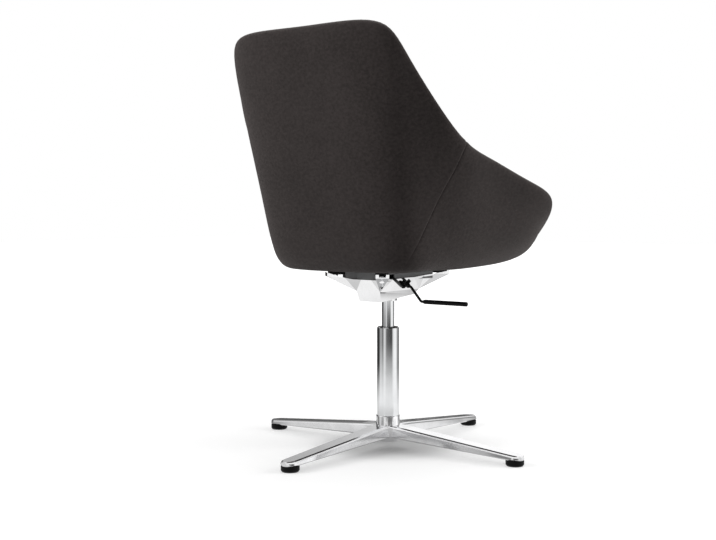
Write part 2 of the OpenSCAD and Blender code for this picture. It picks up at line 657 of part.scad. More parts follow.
// Clip: an eye round the wire with a strap up the support's side
module lever_clips() color(black_c)
    for (y = clip_ys) translate([0, y + clip_w / 2, 0]) rotate([90, 0, 0]) linear_extrude(clip_w) difference() {
        union() {
            translate(pivot) circle(r = wire_r + 2.1);
            translate([-crown_x, crown_z]) rotate(atan2(side_up[1], side_up[0]))
                translate([pivot_rise - 3, seat_gap]) square([15, strap_t]);
        }
        translate(pivot) circle(r = wire_r + run);
    }

// Bucket shell: right-hand stations from the middle of the back to the middle of the front.
// Each has the underside's corner [x, y, rise], the rim [x, y, z] and the wall's bulge low and high
half_stations = [
    [[0, floor_back_y, 5], [0, back_top_y - 3, back_top_z - 2], [10, 8]],
    [[floor_half - 100, floor_back_y, 5], [back_half - 80, back_top_y + 2, back_top_z + 1], [10, 8]],
    [[floor_half - 36, floor_back_y - 8, 7], [back_half, back_top_y - 20, back_top_z - 7], [6, 7]],
    [[floor_half - 5, floor_back_y - 46, 9], [back_half + 16, back_top_y - 61, back_top_z - 71], [6, 6]],
    [[floor_half - 5, 84, 12], [271, 182, bend_z + 70], [12, 7]],
    [[floor_half - 4, 22, 9], [288, 110, bend_z], [18, 10]],
    [[floor_half, -50, 9], [292, 25, bend_z - 21], [24, 10]],
    [[floor_half + 1, -120, 13], [arms_half - 17, 97 - arms_front_y, arms_z + 28], [26, 11]],
    [[floor_half - 2, -180, 16], [arms_half, -arms_front_y, arms_z], [30, 10]],
    [[floor_half - 18, 57 - floor_front_y, 16], [arms_half - 58, -arms_front_y - 41, arms_z - 54], [28, 10]],
    [[floor_half - 50, 21 - floor_front_y, 15], [arms_half - 116, 40 - lip_y, lip_z + 14], [18, 10]],
    [[floor_half - 113, 3 - floor_front_y, 13], [arms_half - 218, 8 - lip_y, lip_z + 2], [10, 8]],
    [[0, -floor_front_y, 13], [0, -lip_y, lip_z], [8, 7]]];
function flipped(s) = [mirrored(s[0], -1, 1), mirrored(s[1], -1, 1), s[2]];
stations = concat(half_stations, [for (i = [len(half_stations) - 2:-1:1]) flipped(half_stations[i])]);
n_st = len(stations);
function plan_mid(i) = let(s = stations[(i + n_st) % n_st])
    [(s[0][0] + s[1][0]) / 2, (s[0][1] + s[1][1]) / 2];
// Outward direction of the wall at a station, in plan
function outward(i) = let(t = plan_mid(i + 1) - plan_mid(i - 1), u = unit2([-t[1], t[0]])) [u[0], u[1], 0];
function floor_corner(i) = stations[i][0] + [0, 0, underside_z];
floor_mid = [0, -50];
function floor_point(i, share, rise) = let(c = stations[i][0])
    [mix(floor_mid[0], c[0], share), mix(floor_mid[1], c[1], share), underside_z + rise * c[2]];
function rim_point(i) = stations[i][1];
up = [0, 0, 1];
// Control point of the shell's surface at station i, row r and depth d below the outer surface
function shell_point(i, r, d) = let(
    n = outward(i), c = floor_corner(i), e = rim_point(i), b = stations[i][2])
    r == 0 ? floor_point(i, 0, 0) + d * up :
    r == 1 ? floor_point(i, 0.5, 0.1) + d * up :
    r == 2 ? floor_point(i, 0.86, 0.55) + d * (up - 0.3 * n) :
    r == 3 ? c + 12 * n + 6 * up + d * (0.85 * up - 0.85 * n) :
    r == 4 ? mix(c, e, 0.30) + b[0] * n + d * (0.12 * up - n) :
    r == 5 ? mix(c, e, 0.68) + b[1] * n - d * n :
    r == 6 ? e - 16 * up - d * n :
    r == 7 ? e + up - 3 * n - 0.7 * d * (n + up) :
    e - apex_in * n - d * up;
// The inner pad's rear face ends beside the cover's edge, its front face rolls over the rim
function pad_back_point(i, r) = let(n = outward(i), e = rim_point(i))
    r < 7 ? shell_point(i, r, pad_from) :
    e - (apex_in + 0.8) * n - (r == 7 ? 10 : 0) * up;
function pad_front_point(i, r) = let(n = outward(i), e = rim_point(i))
    r < 2 ? shell_point(i, r, pad_floor_t) :
    r == 2 ? shell_point(i, r, pad_floor_t) :
    r == 3 ? shell_point(i, r, pad_floor_t + 2) :
    r < 7 ? shell_point(i, r, wall_t) :
    r == 7 ? e + up - (wall_t - 3) * n :
    e - (apex_in + 1.6) * n;
around = 48;
// Places along a section at which the layers are cut, floor to rim
cuts = [1, 2, 2.5, 3, 3.5, 4, 5, 6, 6.6, 7.2, 7.6, 8];
board_cuts = [1, 2, 2.5, 3, 3.5, 4, 5, 5.8];
// Rings of one face of a layer: control rows, rounded along the rows and then across them
function face_rings(rows, at) = let(
    curves = [for (row = rows) closed_curve(row, around)],
    sections = [for (j = [0:around - 1]) open_curve([for (c = curves) c[j]], at)])
    [for (k = [0:len(at) - 1]) [for (j = [0:around - 1]) sections[j][k]]];
function depth_rows(d, last = 8) = [for (r = [0:last]) [for (i = [0:n_st - 1]) shell_point(i, r, d)]];
// Triangles between ring k and the next of n points each, mirrored about the YZ plane
function ring_walls(k, n) = [for (i = [0:n - 1]) let(
    a = k * n + i, b = a + n, d = k * n + (i + 1) % n, c = d + n)
    each i < n / 2 ? [[a, b, c], [a, c, d]] : [[a, b, d], [b, c, d]]];
// Closed layer between an outer and an inner stack of rings, with a pole in the floor of each
module layer(outer, inner, outer_pole, inner_pole) {
    n = around;
    m = len(outer);
    in0 = m * n;
    poles = 2 * m * n;
    outer_walls = [for (k = [0:m - 2]) each ring_walls(k, n)];
    inner_walls = [for (f = outer_walls) [in0 + f[2], in0 + f[1], in0 + f[0]]];
    outer_fan = [for (i = [0:n - 1]) [poles, i, (i + 1) % n]];
    inner_fan = [for (i = [0:n - 1]) [poles + 1, in0 + (i + 1) % n, in0 + i]];
    e = (m - 1) * n;
    edge = [for (i = [0:n - 1]) let(j = (i + 1) % n)
        each [[e + i, in0 + e + i, in0 + e + j], [e + i, in0 + e + j, e + j]]];
    polyhedron(concat([for (r = outer) each r], [for (r = inner) each r], [outer_pole, inner_pole]),
        turned(concat(outer_walls, inner_walls, outer_fan, inner_fan, edge)), convexity = 12);
}
module screw_clearance(r) for (c = corners)
    translate([c[0] * screw_x, c[1] * screw_y, underside_z - 5])
        cylinder(r = r, h = board_to + screw_rise + 4, $fn = 32);
module back_cover() color(fabric_c) difference() {
    layer(face_rings(depth_rows(0), cuts), face_rings(depth_rows(cover_t), cuts),
        floor_point(0, 0, 0), floor_point(0, 0, 0) + cover_t * up);
    screw_clearance(screw_d / 2 + 1);
}
module seat_shell() color(wood_c) difference() {
    layer(face_rings(depth_rows(board_from), board_cuts), face_rings(depth_rows(board_to), board_cuts),
        floor_point(0, 0, 0) + board_from * up, floor_point(0, 0, 0) + board_to * up);
    screw_clearance(screw_d / 2 + 2.5 + fit);
}
module inner_pad() color(foam_c) {
    back_rows = [for (r = [0:8]) [for (i = [0:n_st - 1]) pad_back_point(i, r)]];
    front_rows = [for (r = [0:8]) [for (i = [0:n_st - 1]) pad_front_point(i, r)]];
    layer(face_rings(back_rows, cuts), face_rings(front_rows, cuts),
        floor_point(0, 0, 0) + pad_from * up, floor_point(0, 0, 0) + pad_floor_t * up);
}

// Seat cushion: drawn-in sides between a sewn edge and a soft foot, and a crowned top
function cushion_point(i, r) = let(
    n = outward(i), c = floor_corner(i),
    at = [for (k = [0:2]) k < 2 ? c[k] - (pad_floor_t + cushion_gap) * n[k] : 0],
    e = rim_point(i),
    flare = ((e - c) * n) / (e[2] - c[2]) * (pad_floor_z + cushion_edge - c[2]) * n,
    mid = [floor_mid[0], floor_mid[1], 0],
    z = pad_floor_z + seat_gap)
    r == 0 ? mid + z * up :
    r == 1 ? mix(mid, at, 0.5) + (z + 0.35 * stations[i][0][2]) * up :
    r == 2 ? mix(mid, at, 0.88) + (z + 0.9 * stations[i][0][2]) * up :
    r == 3 ? at + 2 * n + (z + 12) * up :
    r == 4 ? at + 0.35 * flare - n + (z + cushion_edge * 0.6) * up :
    r == 5 ? at + flare + (z + cushion_edge) * up :
    r == 6 ? mix(mid, at, 0.9) + 0.9 * flare + (z + cushion_edge + 12) * up :
    r == 7 ? mix(mid, at, 0.5) + (z + cushion_crown) * up :
    mid + (z + cushion_crown) * up;
module seat_cushion() color(fabric_c) {
    rows = [for (r = [0:8]) [for (i = [0:n_st - 1]) cushion_point(i, r)]];
    at = [0.8, 1.6, 2.2, 2.7, 3.3, 4, 4.6, 5.2, 5.7, 6.2, 6.8, 7.4];
    rings = face_rings(rows, at);
    n = around;
    m = len(rings);
    walls = [for (k = [0:m - 2]) each ring_walls(k, n)];
    foot = [for (i = [0:n - 1]) [m * n, i, (i + 1) % n]];
    crown = [for (i = [0:n - 1]) [m * n + 1, (m - 1) * n + (i + 1) % n, (m - 1) * n + i]];
    polyhedron(concat([for (r = rings) each r], [rows[0][0], rows[8][0]]),
        turned(concat(walls, foot, crown)), convexity = 6);
}

base_star();
glide_studs();
glide_bodies();
glide_pads();
column_tube();
guide_bush();
column_floor();
lower_race();
bearing_cage();
bearing_balls();
upper_race();
piston_rod();
rod_clip();
bump_stop();
piston();
gas_cylinder();
pressure_tube();
cylinder_gland();
valve_housing();
seat_support();
shell_plate();
lever_clips();
support_screws();
shell_inserts();
back_cover();
seat_shell();
inner_pad();
seat_cushion();
height_lever();
lever_grip();
release_pin();
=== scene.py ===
# %% [markdown]
# A swivel lounge chair, dressed in Blender
#
# The chair's solids come from its CAD model: a bucket shell on a faceted casting, a gas lift in a
# polished column and a four-star base. This lesson loads them as a fixed frame and gives each
# surface its look. Hard parts whose shape is right keep their solid and get a finish, castings
# get softened edges, and everything upholstered is built anew in the space its solid holds.

import json
import math

import bmesh
import bpy
import numpy as np
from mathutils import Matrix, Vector
from mathutils.bvhtree import BVHTree
from mathutils.geometry import convex_hull_2d, intersect_line_line_2d

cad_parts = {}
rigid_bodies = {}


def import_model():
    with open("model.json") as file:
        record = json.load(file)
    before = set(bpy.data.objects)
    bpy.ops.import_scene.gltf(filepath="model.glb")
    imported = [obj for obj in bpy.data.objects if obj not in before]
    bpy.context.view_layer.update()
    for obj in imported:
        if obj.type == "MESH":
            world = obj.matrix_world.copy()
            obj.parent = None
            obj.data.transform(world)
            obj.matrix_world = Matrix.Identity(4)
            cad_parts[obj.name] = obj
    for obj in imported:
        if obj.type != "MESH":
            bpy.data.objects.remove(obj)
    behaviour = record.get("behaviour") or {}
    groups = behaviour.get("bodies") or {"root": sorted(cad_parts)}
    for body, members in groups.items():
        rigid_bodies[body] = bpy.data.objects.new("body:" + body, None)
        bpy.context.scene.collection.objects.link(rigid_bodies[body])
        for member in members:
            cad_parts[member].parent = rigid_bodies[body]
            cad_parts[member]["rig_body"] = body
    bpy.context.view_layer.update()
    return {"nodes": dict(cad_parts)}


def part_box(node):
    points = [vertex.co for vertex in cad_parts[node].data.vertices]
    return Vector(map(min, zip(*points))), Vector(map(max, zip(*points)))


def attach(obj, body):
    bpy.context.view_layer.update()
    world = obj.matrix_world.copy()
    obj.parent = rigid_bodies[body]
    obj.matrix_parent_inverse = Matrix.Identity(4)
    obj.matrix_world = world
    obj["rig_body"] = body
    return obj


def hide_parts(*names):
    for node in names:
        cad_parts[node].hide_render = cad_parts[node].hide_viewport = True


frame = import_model()
nodes = frame["nodes"]
mm = 0.001

# %% [markdown]
# Camera
#
# A product photograph taken a few metres away with a long lens. A camera could be nudged by eye
# until the picture fits, but the column, the level floor and the four glides fix where it
# stands, so its place and direction are written down as numbers and the lens is given for a
# 36 mm wide sensor.

# %% Set up the camera
camera_data = bpy.data.cameras.new("camera")
camera = bpy.data.objects.new("camera", camera_data)
bpy.context.scene.collection.objects.link(camera)
camera_data.sensor_width = 36
camera_data.lens = 58.92
camera_data.clip_end = 60
camera_place = (-1.583678, 2.103280, 0.538130)
camera_aim = Vector((0.62103632, -0.78199288, -0.05292479))
camera.location = camera_place
camera.rotation_mode = "QUATERNION"
camera.rotation_quaternion = camera_aim.to_track_quat("-Z", "Y")
bpy.context.scene.camera = camera
print("camera looks down by", round(math.degrees(math.asin(-camera_aim.z)), 1), "degrees")

# %% [markdown]
# Shader arithmetic
#
# A material is a tree of small nodes. They could be made and linked one line at a time, but then
# nobody sees the recipe. Sums of sockets written as Python sums stay readable, so one class
# wraps a socket and turns +, -, * and / into Math nodes, and another one owns the tree and makes
# any other node from its type, its settings and its inputs.


# %% A socket with arithmetic
class Wire:
    """An output socket of a tree, and the object that makes that tree's nodes."""

    def __init__(self, maker, socket):
        self.maker = maker
        self.socket = socket

    def math(self, operation, *inputs):
        return self.maker.node("ShaderNodeMath", {"operation": operation}, *inputs)

    def __add__(self, other):
        return self.math("ADD", self, other)

    def __radd__(self, other):
        return self.math("ADD", other, self)

    def __sub__(self, other):
        return self.math("SUBTRACT", self, other)

    def __rsub__(self, other):
        return self.math("SUBTRACT", other, self)

    def __mul__(self, other):
        return self.math("MULTIPLY", self, other)

    def __rmul__(self, other):
        return self.math("MULTIPLY", other, self)

    def __truediv__(self, other):
        return self.math("DIVIDE", self, other)

    def __rtruediv__(self, other):
        return self.math("DIVIDE", other, self)

    def between(self, low, high):
        """0 below low, 1 above high and a smooth step in between."""
        return self.maker.node(
            "ShaderNodeMapRange", {"interpolation_type": "SMOOTHSTEP"}, self, low, high, 0.0, 1.0
        )


print("a wrapped socket takes + - * / and between")


# %% A node tree, and a finish made with one
class Tree:
    """Makes and joins the nodes of a shader or geometry tree."""

    def __init__(self, tree, family="ShaderNode"):
        self.tree = tree
        self.family = family

    def fill(self, socket, value):
        if isinstance(value, Wire):
            self.tree.links.new(value.socket, socket)
        else:
            socket.default_value = value

    def node(self, kind, settings, *inputs, output=0, stops=None, **named):
        """A node of that kind: its settings first, then its inputs by order or by name.

        An input given as None keeps its own value.
        """
        known = kind.startswith(("Function", "Shader", "Geometry", "NodeGroup"))
        made = self.tree.nodes.new(kind if known else self.family + kind)
        for name, value in settings.items():
            setattr(made, name, value)
        if stops:
            ramp = made.color_ramp.elements
            while len(ramp) < len(stops):
                ramp.new(0.5)
            for stop, (at, level) in zip(ramp, stops):
                stop.position = at
                stop.color = (level, level, level, 1)
        for index, value in enumerate(inputs):
            if value is not None:
                self.fill(made.inputs[index], value)
        for name, value in named.items():
            self.fill(made.inputs[name.replace("_", " ")], value)
        return Wire(self, made.outputs[output]) if len(made.outputs) else None


class Finish(Tree):
    """A material, built node by node around one Principled shader."""

    def __init__(self, name, seen):
        self.material = bpy.data.materials.new(name)
        self.material.use_nodes = True
        self.material.diffuse_color = (*seen[:3], 1)
        super().__init__(self.material.node_tree)
        self.shader = self.tree.nodes["Principled BSDF"]
        self.place = self.node("TexCoord", {}, output="Object")

    def noise(self, size, detail=2.0, stretch=(1, 1, 1), rough=0.5):
        """Noise whose grains are about size metres wide, stretched along an axis."""
        place = self.place
        if stretch != (1, 1, 1):
            scale = tuple(1 / s for s in stretch)
            place = self.node("Mapping", {}, place, (0, 0, 0), (0, 0, 0), scale)
        return self.node(
            "TexNoise", {}, Vector=place, Scale=1 / size, Detail=detail, Roughness=rough
        )

    def blend(self, factor, a, b):
        """Colour a where factor is 0 and b where it is 1."""
        # a Mix node has five inputs for numbers and vectors between its factor and its colours
        unused, colour_out = [None] * 5, 2
        return self.node("Mix", {"data_type": "RGBA"}, factor, *unused, a, b, output=colour_out)

    def bump(self, height, depth):
        """Normal of a surface whose height in metres is height * depth."""
        return self.node("Bump", {}, Strength=1.0, Distance=depth, Height=height)

    def surface(self, **values):
        """Fills the Principled shader's sockets and gives the material."""
        for name, value in values.items():
            self.fill(self.shader.inputs[name.replace("_", " ")], value)
        return self.material


def rgb(r, g, b):
    """Colour from the values that a picture shows, 0 to 255."""
    return tuple(
        x / 12.92 if x <= 0.04045 else ((x + 0.055) / 1.055) ** 2.4
        for x in (r / 255, g / 255, b / 255)
    ) + (1,)


print("shader helpers ready; middle grey is", round(rgb(119, 119, 119)[0], 3))

# %% [markdown]
# Felted wool
#
# The shell is covered in a dark, warm grey wool whose fibres are felted together: no threads to
# count, but a fine mottle of lighter and darker yarn and a dull, slightly furry surface. A
# picture of cloth wrapped round the shell would stretch and show its joins. Noise in object
# space has none, so it runs on from one padded piece to the next. Three sizes are mixed: fibres,
# yarn and slow changes of tone, and a little sheen lights the turning edges.


# %% Upholstery cloth
def felted_wool(name, dark, light, seen):
    wool = Finish(name, seen)
    fibre_size, yarn_size, tone_size = 0.0007, 0.0068, 0.11
    fibre = wool.noise(fibre_size, detail=3.0, stretch=(1, 1, 2.5), rough=0.7)
    yarn = wool.noise(yarn_size, detail=2.0, stretch=(1, 1, 0.8), rough=0.5)
    slow = wool.noise(tone_size, detail=2.0)
    tone = (fibre * 0.25 + yarn * 0.5 + slow * 0.25).between(0.3, 0.7)
    pile = fibre * 0.6 + yarn * 0.4
    return wool.surface(
        Base_Color=wool.blend(tone, rgb(*dark), rgb(*light)),
        Roughness=0.88 + fibre * 0.1,
        Normal=wool.bump(pile, 0.0006),
        Sheen_Weight=0.25,
        Sheen_Roughness=0.55,
        Sheen_Tint=(0.75, 0.7, 0.68, 1),
        Specular_IOR_Level=0.2,
    )


wool = felted_wool("felted wool", (44, 39, 38), (63, 57, 56), (0.22, 0.2, 0.2))
thread_finish = Finish("sewing thread", (0.15, 0.14, 0.14))
twist_size = 0.0004
twist = thread_finish.noise(twist_size, detail=1.0)
thread = thread_finish.surface(
    Base_Color=thread_finish.blend(twist.between(0.3, 0.7), rgb(38, 34, 33), rgb(66, 60, 58)),
    Roughness=0.7,
    Normal=thread_finish.bump(twist, 0.0002),
)
print("cloth:", wool.name, "with", len(wool.node_tree.nodes), "nodes")

# %% [markdown]
# Metals
#
# The base and the support are polished die castings: bright, with the faintest waviness that a
# buffing wheel leaves, and a touch duller in patches where hands and polish dry. The support has
# the finer polish of the two. The column and the gas cylinder are chromed and straighter. Inside
# the lift, steel and brass are turned or ground, so their grain is drawn out. A metal of one even
# roughness looks like paint. Here noise varies roughness and bump, and hardly the colour, as on
# real metal, and one recipe serves all five.


# %% Polished and plated metal
def metal(name, colour, rough, patch=0.04, wave=0.00002, stretch=(1, 1, 1)):
    made = Finish(name, colour)
    smear_size, grain_size, buff_size = 0.05, 0.0008, 0.02
    smear = made.noise(smear_size, detail=4.0, stretch=stretch, rough=0.6).between(0.35, 0.75)
    grain = made.noise(grain_size, detail=1.0, stretch=stretch)
    buff = made.noise(buff_size, detail=1.0, stretch=stretch)
    smeared = tuple(part * 0.93 for part in colour)
    return made.surface(
        Base_Color=made.blend(smear, (*colour, 1), (*smeared, 1)),
        Metallic=1.0,
        Roughness=smear * patch + grain * 0.02 + rough,
        Normal=made.bump(buff + grain * 0.05, wave),
    )


polished = metal("polished casting", (0.90, 0.90, 0.91), 0.12)
bright = metal("bright casting", (0.96, 0.96, 0.965), 0.06, patch=0.035)
chrome = metal("chrome plating", (0.88, 0.89, 0.90), 0.05, patch=0.02, wave=0.000006)
steel = metal("ground steel", (0.55, 0.56, 0.58), 0.28, patch=0.1, stretch=(1, 1, 0.1))
brass = metal("turned brass", (0.72, 0.56, 0.28), 0.25, stretch=(1, 1, 0.1))
print("metals:", [m.name for m in (polished, bright, chrome, steel, brass)])

# %% [markdown]
# Plastics, paint, rubber, felt and plywood
#
# Moulded plastic has a fine spark-eroded grain, powder coat a slow orange peel, lacquered wire a
# smooth skin with a thin clear coat. Each could have its own recipe, but they differ only in the
# size and depth of the grain and in gloss, so one recipe takes these as values, and only plywood
# has its own, for its long grain. The black parts have hardly any colour, and their shine is
# turned down too, or the bright studio would make them grey. The hidden parts are finished as
# well, because the lift can be drawn out and looked at.


# %% Moulded and painted surfaces
def moulded(name, dark, light, rough, grain=0.0006, depth=0.00012, coat=0.0, shine=0.5):
    made = Finish(name, dark)
    smear_size = 0.03
    pits = made.noise(grain, detail=3.0, rough=0.7)
    smear = made.noise(smear_size, detail=3.0).between(0.3, 0.8)
    return made.surface(
        Base_Color=made.blend(smear * 0.6 + pits * 0.4, (*dark, 1), (*light, 1)),
        Roughness=smear * 0.1 + pits * 0.08 + rough,
        Specular_IOR_Level=shine,
        Normal=made.bump(pits, depth),
        Coat_Weight=coat,
        Coat_Roughness=0.08,
    )


black_plastic = moulded("black moulded plastic", (0.003, 0.003, 0.0032), (0.007, 0.007, 0.0073),
                        0.38, shine=0.14)
black_wire = moulded("black lacquered wire", (0.003, 0.003, 0.003), (0.006, 0.006, 0.006), 0.3,
                     grain=0.002, depth=0.00003, coat=0.1, shine=0.14)
black_screw = moulded("black oxide", (0.02, 0.02, 0.021), (0.04, 0.04, 0.042), 0.35)
grey_plate = moulded("grey powder coat", (0.30, 0.30, 0.305), (0.38, 0.38, 0.385), 0.36,
                     grain=0.0015, depth=0.0001)
rubber = moulded("black rubber", (0.01, 0.01, 0.01), (0.02, 0.02, 0.02), 0.7, shine=0.25)
felt = moulded("felt", (0.08, 0.08, 0.08), (0.2, 0.2, 0.2), 0.9, grain=0.0005, depth=0.0005)


def plywood(name):
    made = Finish(name, (0.6, 0.46, 0.3))
    grain_size = 0.006
    grain = made.noise(grain_size, detail=4.0, stretch=(1, 1, 14), rough=0.6)
    tone = grain.between(0.35, 0.65)
    return made.surface(
        Base_Color=made.blend(tone, rgb(205, 170, 122), rgb(168, 128, 82)),
        Roughness=0.5 + tone * 0.12,
        Normal=made.bump(grain, 0.0003),
    )


board = plywood("moulded plywood")
print("non-metals:", [m.name for m in (black_plastic, black_wire, grey_plate, rubber, felt, board)])

# %% [markdown]
# Solids that keep their shape
#
# Turned and moulded parts could be modelled again here, but the exact CAD already has the right
# shape, and what is made once can't disagree with itself. They only swap their plain material
# for a finish, and one table maps each solid to its own.

# %% Give the solids their finishes
finish_of = {
    "glide_studs": steel, "glide_bodies": black_plastic, "glide_pads": felt,
    "column_tube": chrome, "guide_bush": black_plastic, "column_floor": steel,
    "lower_race": steel, "bearing_cage": brass, "bearing_balls": chrome, "upper_race": steel,
    "piston_rod": steel, "rod_clip": steel, "bump_stop": rubber, "piston": black_plastic,
    "gas_cylinder": chrome, "pressure_tube": steel, "cylinder_gland": black_plastic,
    "valve_housing": brass, "shell_plate": grey_plate, "lever_clips": black_plastic,
    "support_screws": black_screw, "shell_inserts": brass, "seat_shell": board,
    "lever_grip": black_plastic, "release_pin": steel,
}
for name, finish in finish_of.items():
    slots = nodes[name].data.materials
    slots.clear()
    slots.append(finish)
print("finished solids:", len(finish_of))

# %% [markdown]
# Castings
#
# A real casting has no knife edges: every corner is rounded by the die and then by the buffing
# wheel, and that thin round catches the light. Rounds in the CAD would cost many faces and say
# nothing about strength or fit, so they are made here. The solid is copied, its loose triangles
# are joined, flat neighbours are dissolved into whole facets, and a small bevel rounds every
# edge while the facets stay flat.


# %% Soften a casting's edges
def add_object(name, mesh):
    made = bpy.data.objects.new(name, mesh)
    bpy.context.scene.collection.objects.link(made)
    return made


def bake_modifiers(made):
    """Turns an object's modifiers into its mesh."""
    graph = bpy.context.evaluated_depsgraph_get()
    mesh = bpy.data.meshes.new_from_object(made.evaluated_get(graph))
    made.modifiers.clear()
    made.data = mesh


weld_gap, flat_angle, sharp_angle = 2e-6, math.radians(0.4), math.radians(18)


def soften(name, node, finish, width, steps=2):
    """Makes a copy of a solid with rounded edges, riding on the same body."""
    mesh = bmesh.new()
    mesh.from_mesh(nodes[node].data)
    bmesh.ops.remove_doubles(mesh, verts=mesh.verts, dist=weld_gap)
    bmesh.ops.dissolve_limit(mesh, angle_limit=flat_angle, verts=mesh.verts, edges=mesh.edges)
    data = bpy.data.meshes.new(name)
    mesh.to_mesh(data)
    mesh.free()
    made = add_object(name, data)
    made.data.materials.clear()
    made.data.materials.append(finish)
    bevel = made.modifiers.new("soft edges", "BEVEL")
    bevel.width = width
    bevel.segments = steps
    bevel.limit_method = "ANGLE"
    bevel.angle_limit = sharp_angle
    bevel.harden_normals = True
    made.data.shade_smooth()
    made.data.set_sharp_from_angle(angle=sharp_angle)
    bake_modifiers(made)
    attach(made, nodes[node]["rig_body"])
    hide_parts(node)
    print(name, "has", len(made.data.polygons), "faces")


soften("star_casting", "base_star", polished, 0.9 * mm)
soften("support_casting", "seat_support", bright, 0.6 * mm)

# %% [markdown]
# The shell's shape
#
# The bucket shell is one smooth surface. It could be sculpted, but then cover, board and pad
# would never lie evenly on each other. Like the hull of a boat it is set out by stations round
# its edge: each names a corner of the underside, a point of the rim above it and how far the
# wall bulges in between. A cubic B-spline follows the rows of points from the floor to the rim
# and round the stations, so any place on the shell has two numbers, u round it and v up it, and
# a layer at any depth comes from the same rule as its solid.

# %% Stations round the shell, in millimetres
half_stations = [
    ((0, 195, 5), (0, 300, 905), (10, 8)),
    ((96, 195, 5), (135, 305, 908), (10, 8)),
    ((160, 187, 7), (215, 283, 900), (6, 7)),
    ((191, 149, 9), (231, 242, 836), (6, 6)),
    ((191, 84, 12), (271, 182, 732), (12, 7)),
    ((192, 22, 9), (288, 110, 662), (18, 10)),
    ((196, -50, 9), (292, 25, 641), (24, 10)),
    ((197, -120, 13), (313, -88, 596), (26, 11)),
    ((194, -180, 16), (330, -185, 568), (30, 10)),
    ((178, -234, 16), (272, -226, 514), (28, 10)),
    ((146, -270, 15), (214, -260, 462), (18, 10)),
    ((83, -288, 13), (112, -292, 450), (10, 8)),
    ((0, -291, 13), (0, -300, 448), (8, 7)),
]
stations = half_stations + [
    ((-foot[0], *foot[1:]), (-rim[0], *rim[1:]), bulge)
    for foot, rim, bulge in half_stations[-2:0:-1]
]
around = len(stations)
feet = np.array([s[0] for s in stations], float)
rims = np.array([s[1] for s in stations], float)
bulges = np.array([s[2] for s in stations], float)
middle = (feet[:, :2] + rims[:, :2]) / 2
run = np.roll(middle, -1, 0) - np.roll(middle, 1, 0)
outward = np.stack([-run[:, 1], run[:, 0], np.zeros(around)], 1)
outward /= np.linalg.norm(outward, axis=1)[:, None]
up = np.array([0.0, 0.0, 1.0])
underside = 398
corner = feet + underside * up
print("stations:", around)

# %% Rows of points, from the middle of the floor to the rim
floor_middle = np.array([0.0, -50.0, 0.0])
rim_in = 20


def floor_row(share, rise):
    """A row under the seat: share of the way out to the corners, with part of their rise."""
    return feet * [share, share, rise] + floor_middle * (1 - share) + underside * up


def wall_row(share):
    """A row on the wall, share of the way from the corners to the rim."""
    return corner + (rims - corner) * share


def shell_rows(depth):
    """Rows of a surface that lies depth below the outside of the shell."""
    low, high = bulges[:, :1] * outward, bulges[:, 1:] * outward
    return np.array([
        floor_row(0, 0) + depth * up,
        floor_row(0.5, 0.1) + depth * up,
        floor_row(0.86, 0.55) + depth * (up - 0.3 * outward),
        corner + 12 * outward + 6 * up + 0.85 * depth * (up - outward),
        wall_row(0.30) + low + depth * (0.12 * up - outward),
        wall_row(0.68) + high - depth * outward,
        rims - 16 * up - depth * outward,
        rims + up - 3 * outward - 0.7 * depth * (outward + up),
        rims - rim_in * outward - depth * up,
    ])


rim_v = len(shell_rows(0)) - 1.0
print("rows from the floor to the rim:", len(shell_rows(0)))


# %% Points of a B-spline surface
def weights(f):
    """How much four neighbouring points weigh, a share f of the way between the middle two."""
    return np.stack([
        (1 - f) ** 3 / 6,
        (3 * f**3 - 6 * f**2 + 4) / 6,
        (-3 * f**3 + 3 * f**2 + 3 * f + 1) / 6,
        f**3 / 6,
    ], -1)


def spread(place, count, closed):
    """How much each of count points weighs at a place along them."""
    place = place % count if closed else place
    first = np.floor(place).astype(int)
    if not closed:
        first = np.minimum(first, count - 2)
    share = weights(place - first)
    size = count if closed else count + 2
    table = np.zeros(place.shape + (size,))
    for k in range(4):
        at = ((first + k - 1) % count if closed else first + k)[..., None]
        np.put_along_axis(table, at, share[..., k : k + 1], -1)
    if closed:
        return table
    inner = table[..., 1:-1].copy()
    inner[..., 0] += 2 * table[..., 0]
    inner[..., 1] -= table[..., 0]
    inner[..., -1] += 2 * table[..., -1]
    inner[..., -2] -= table[..., -1]
    return inner


def surface_at(rows, u, v):
    """Points, in metres, where the two numbers are u and v."""
    return mm * np.einsum(
        "...i,...r,rik->...k", spread(u, around, True), spread(v, len(rows), False), rows
    )


back_top = surface_at(shell_rows(0), np.array([0.0]), np.array([6.5]))
print("top of the back is near", back_top[0].round(3))

# %% [markdown]
# Where the cover is sewn
#
# Two seams run down the outside, from the bend in the rim towards the rear corners of the
# underside, and split the cover into a back panel and a front panel that wraps the arms. A line
# painted on would vanish where the cloth turns away, so the seam is a real groove. On the mesh
# the columns of points lean so that one column lies on the seam for its whole length, and they
# stand closer together beside it. The groove is then sharp without a fine mesh all over.

# %% Columns that follow the seams
# places on the right-hand seam: heights v, and u round the shell at each of them
seam_v = np.array([0.0, 2.52, 2.88, 3.18, 3.48, 3.76, 4.12, 4.48, 4.8, 5.4, 6.22, 8.0])
seam_u = np.array([2.05, 2.20, 2.40, 2.70, 3.02, 3.34, 3.68, 3.98, 4.26, 4.62, 4.88, 5.0])
# how far the close columns stand from the seam
beside = np.array([0, 0.008, 0.018, 0.03, 0.045, 0.065, 0.09, 0.13, 0.18, 0.25, 0.33])


def seam_at(v):
    """u of the right-hand seam at height v, smoothed over its listed points."""
    near = np.linspace(-0.35, 0.35, 9)
    return np.mean([np.interp(v + step, seam_v, seam_u) for step in near], 0)


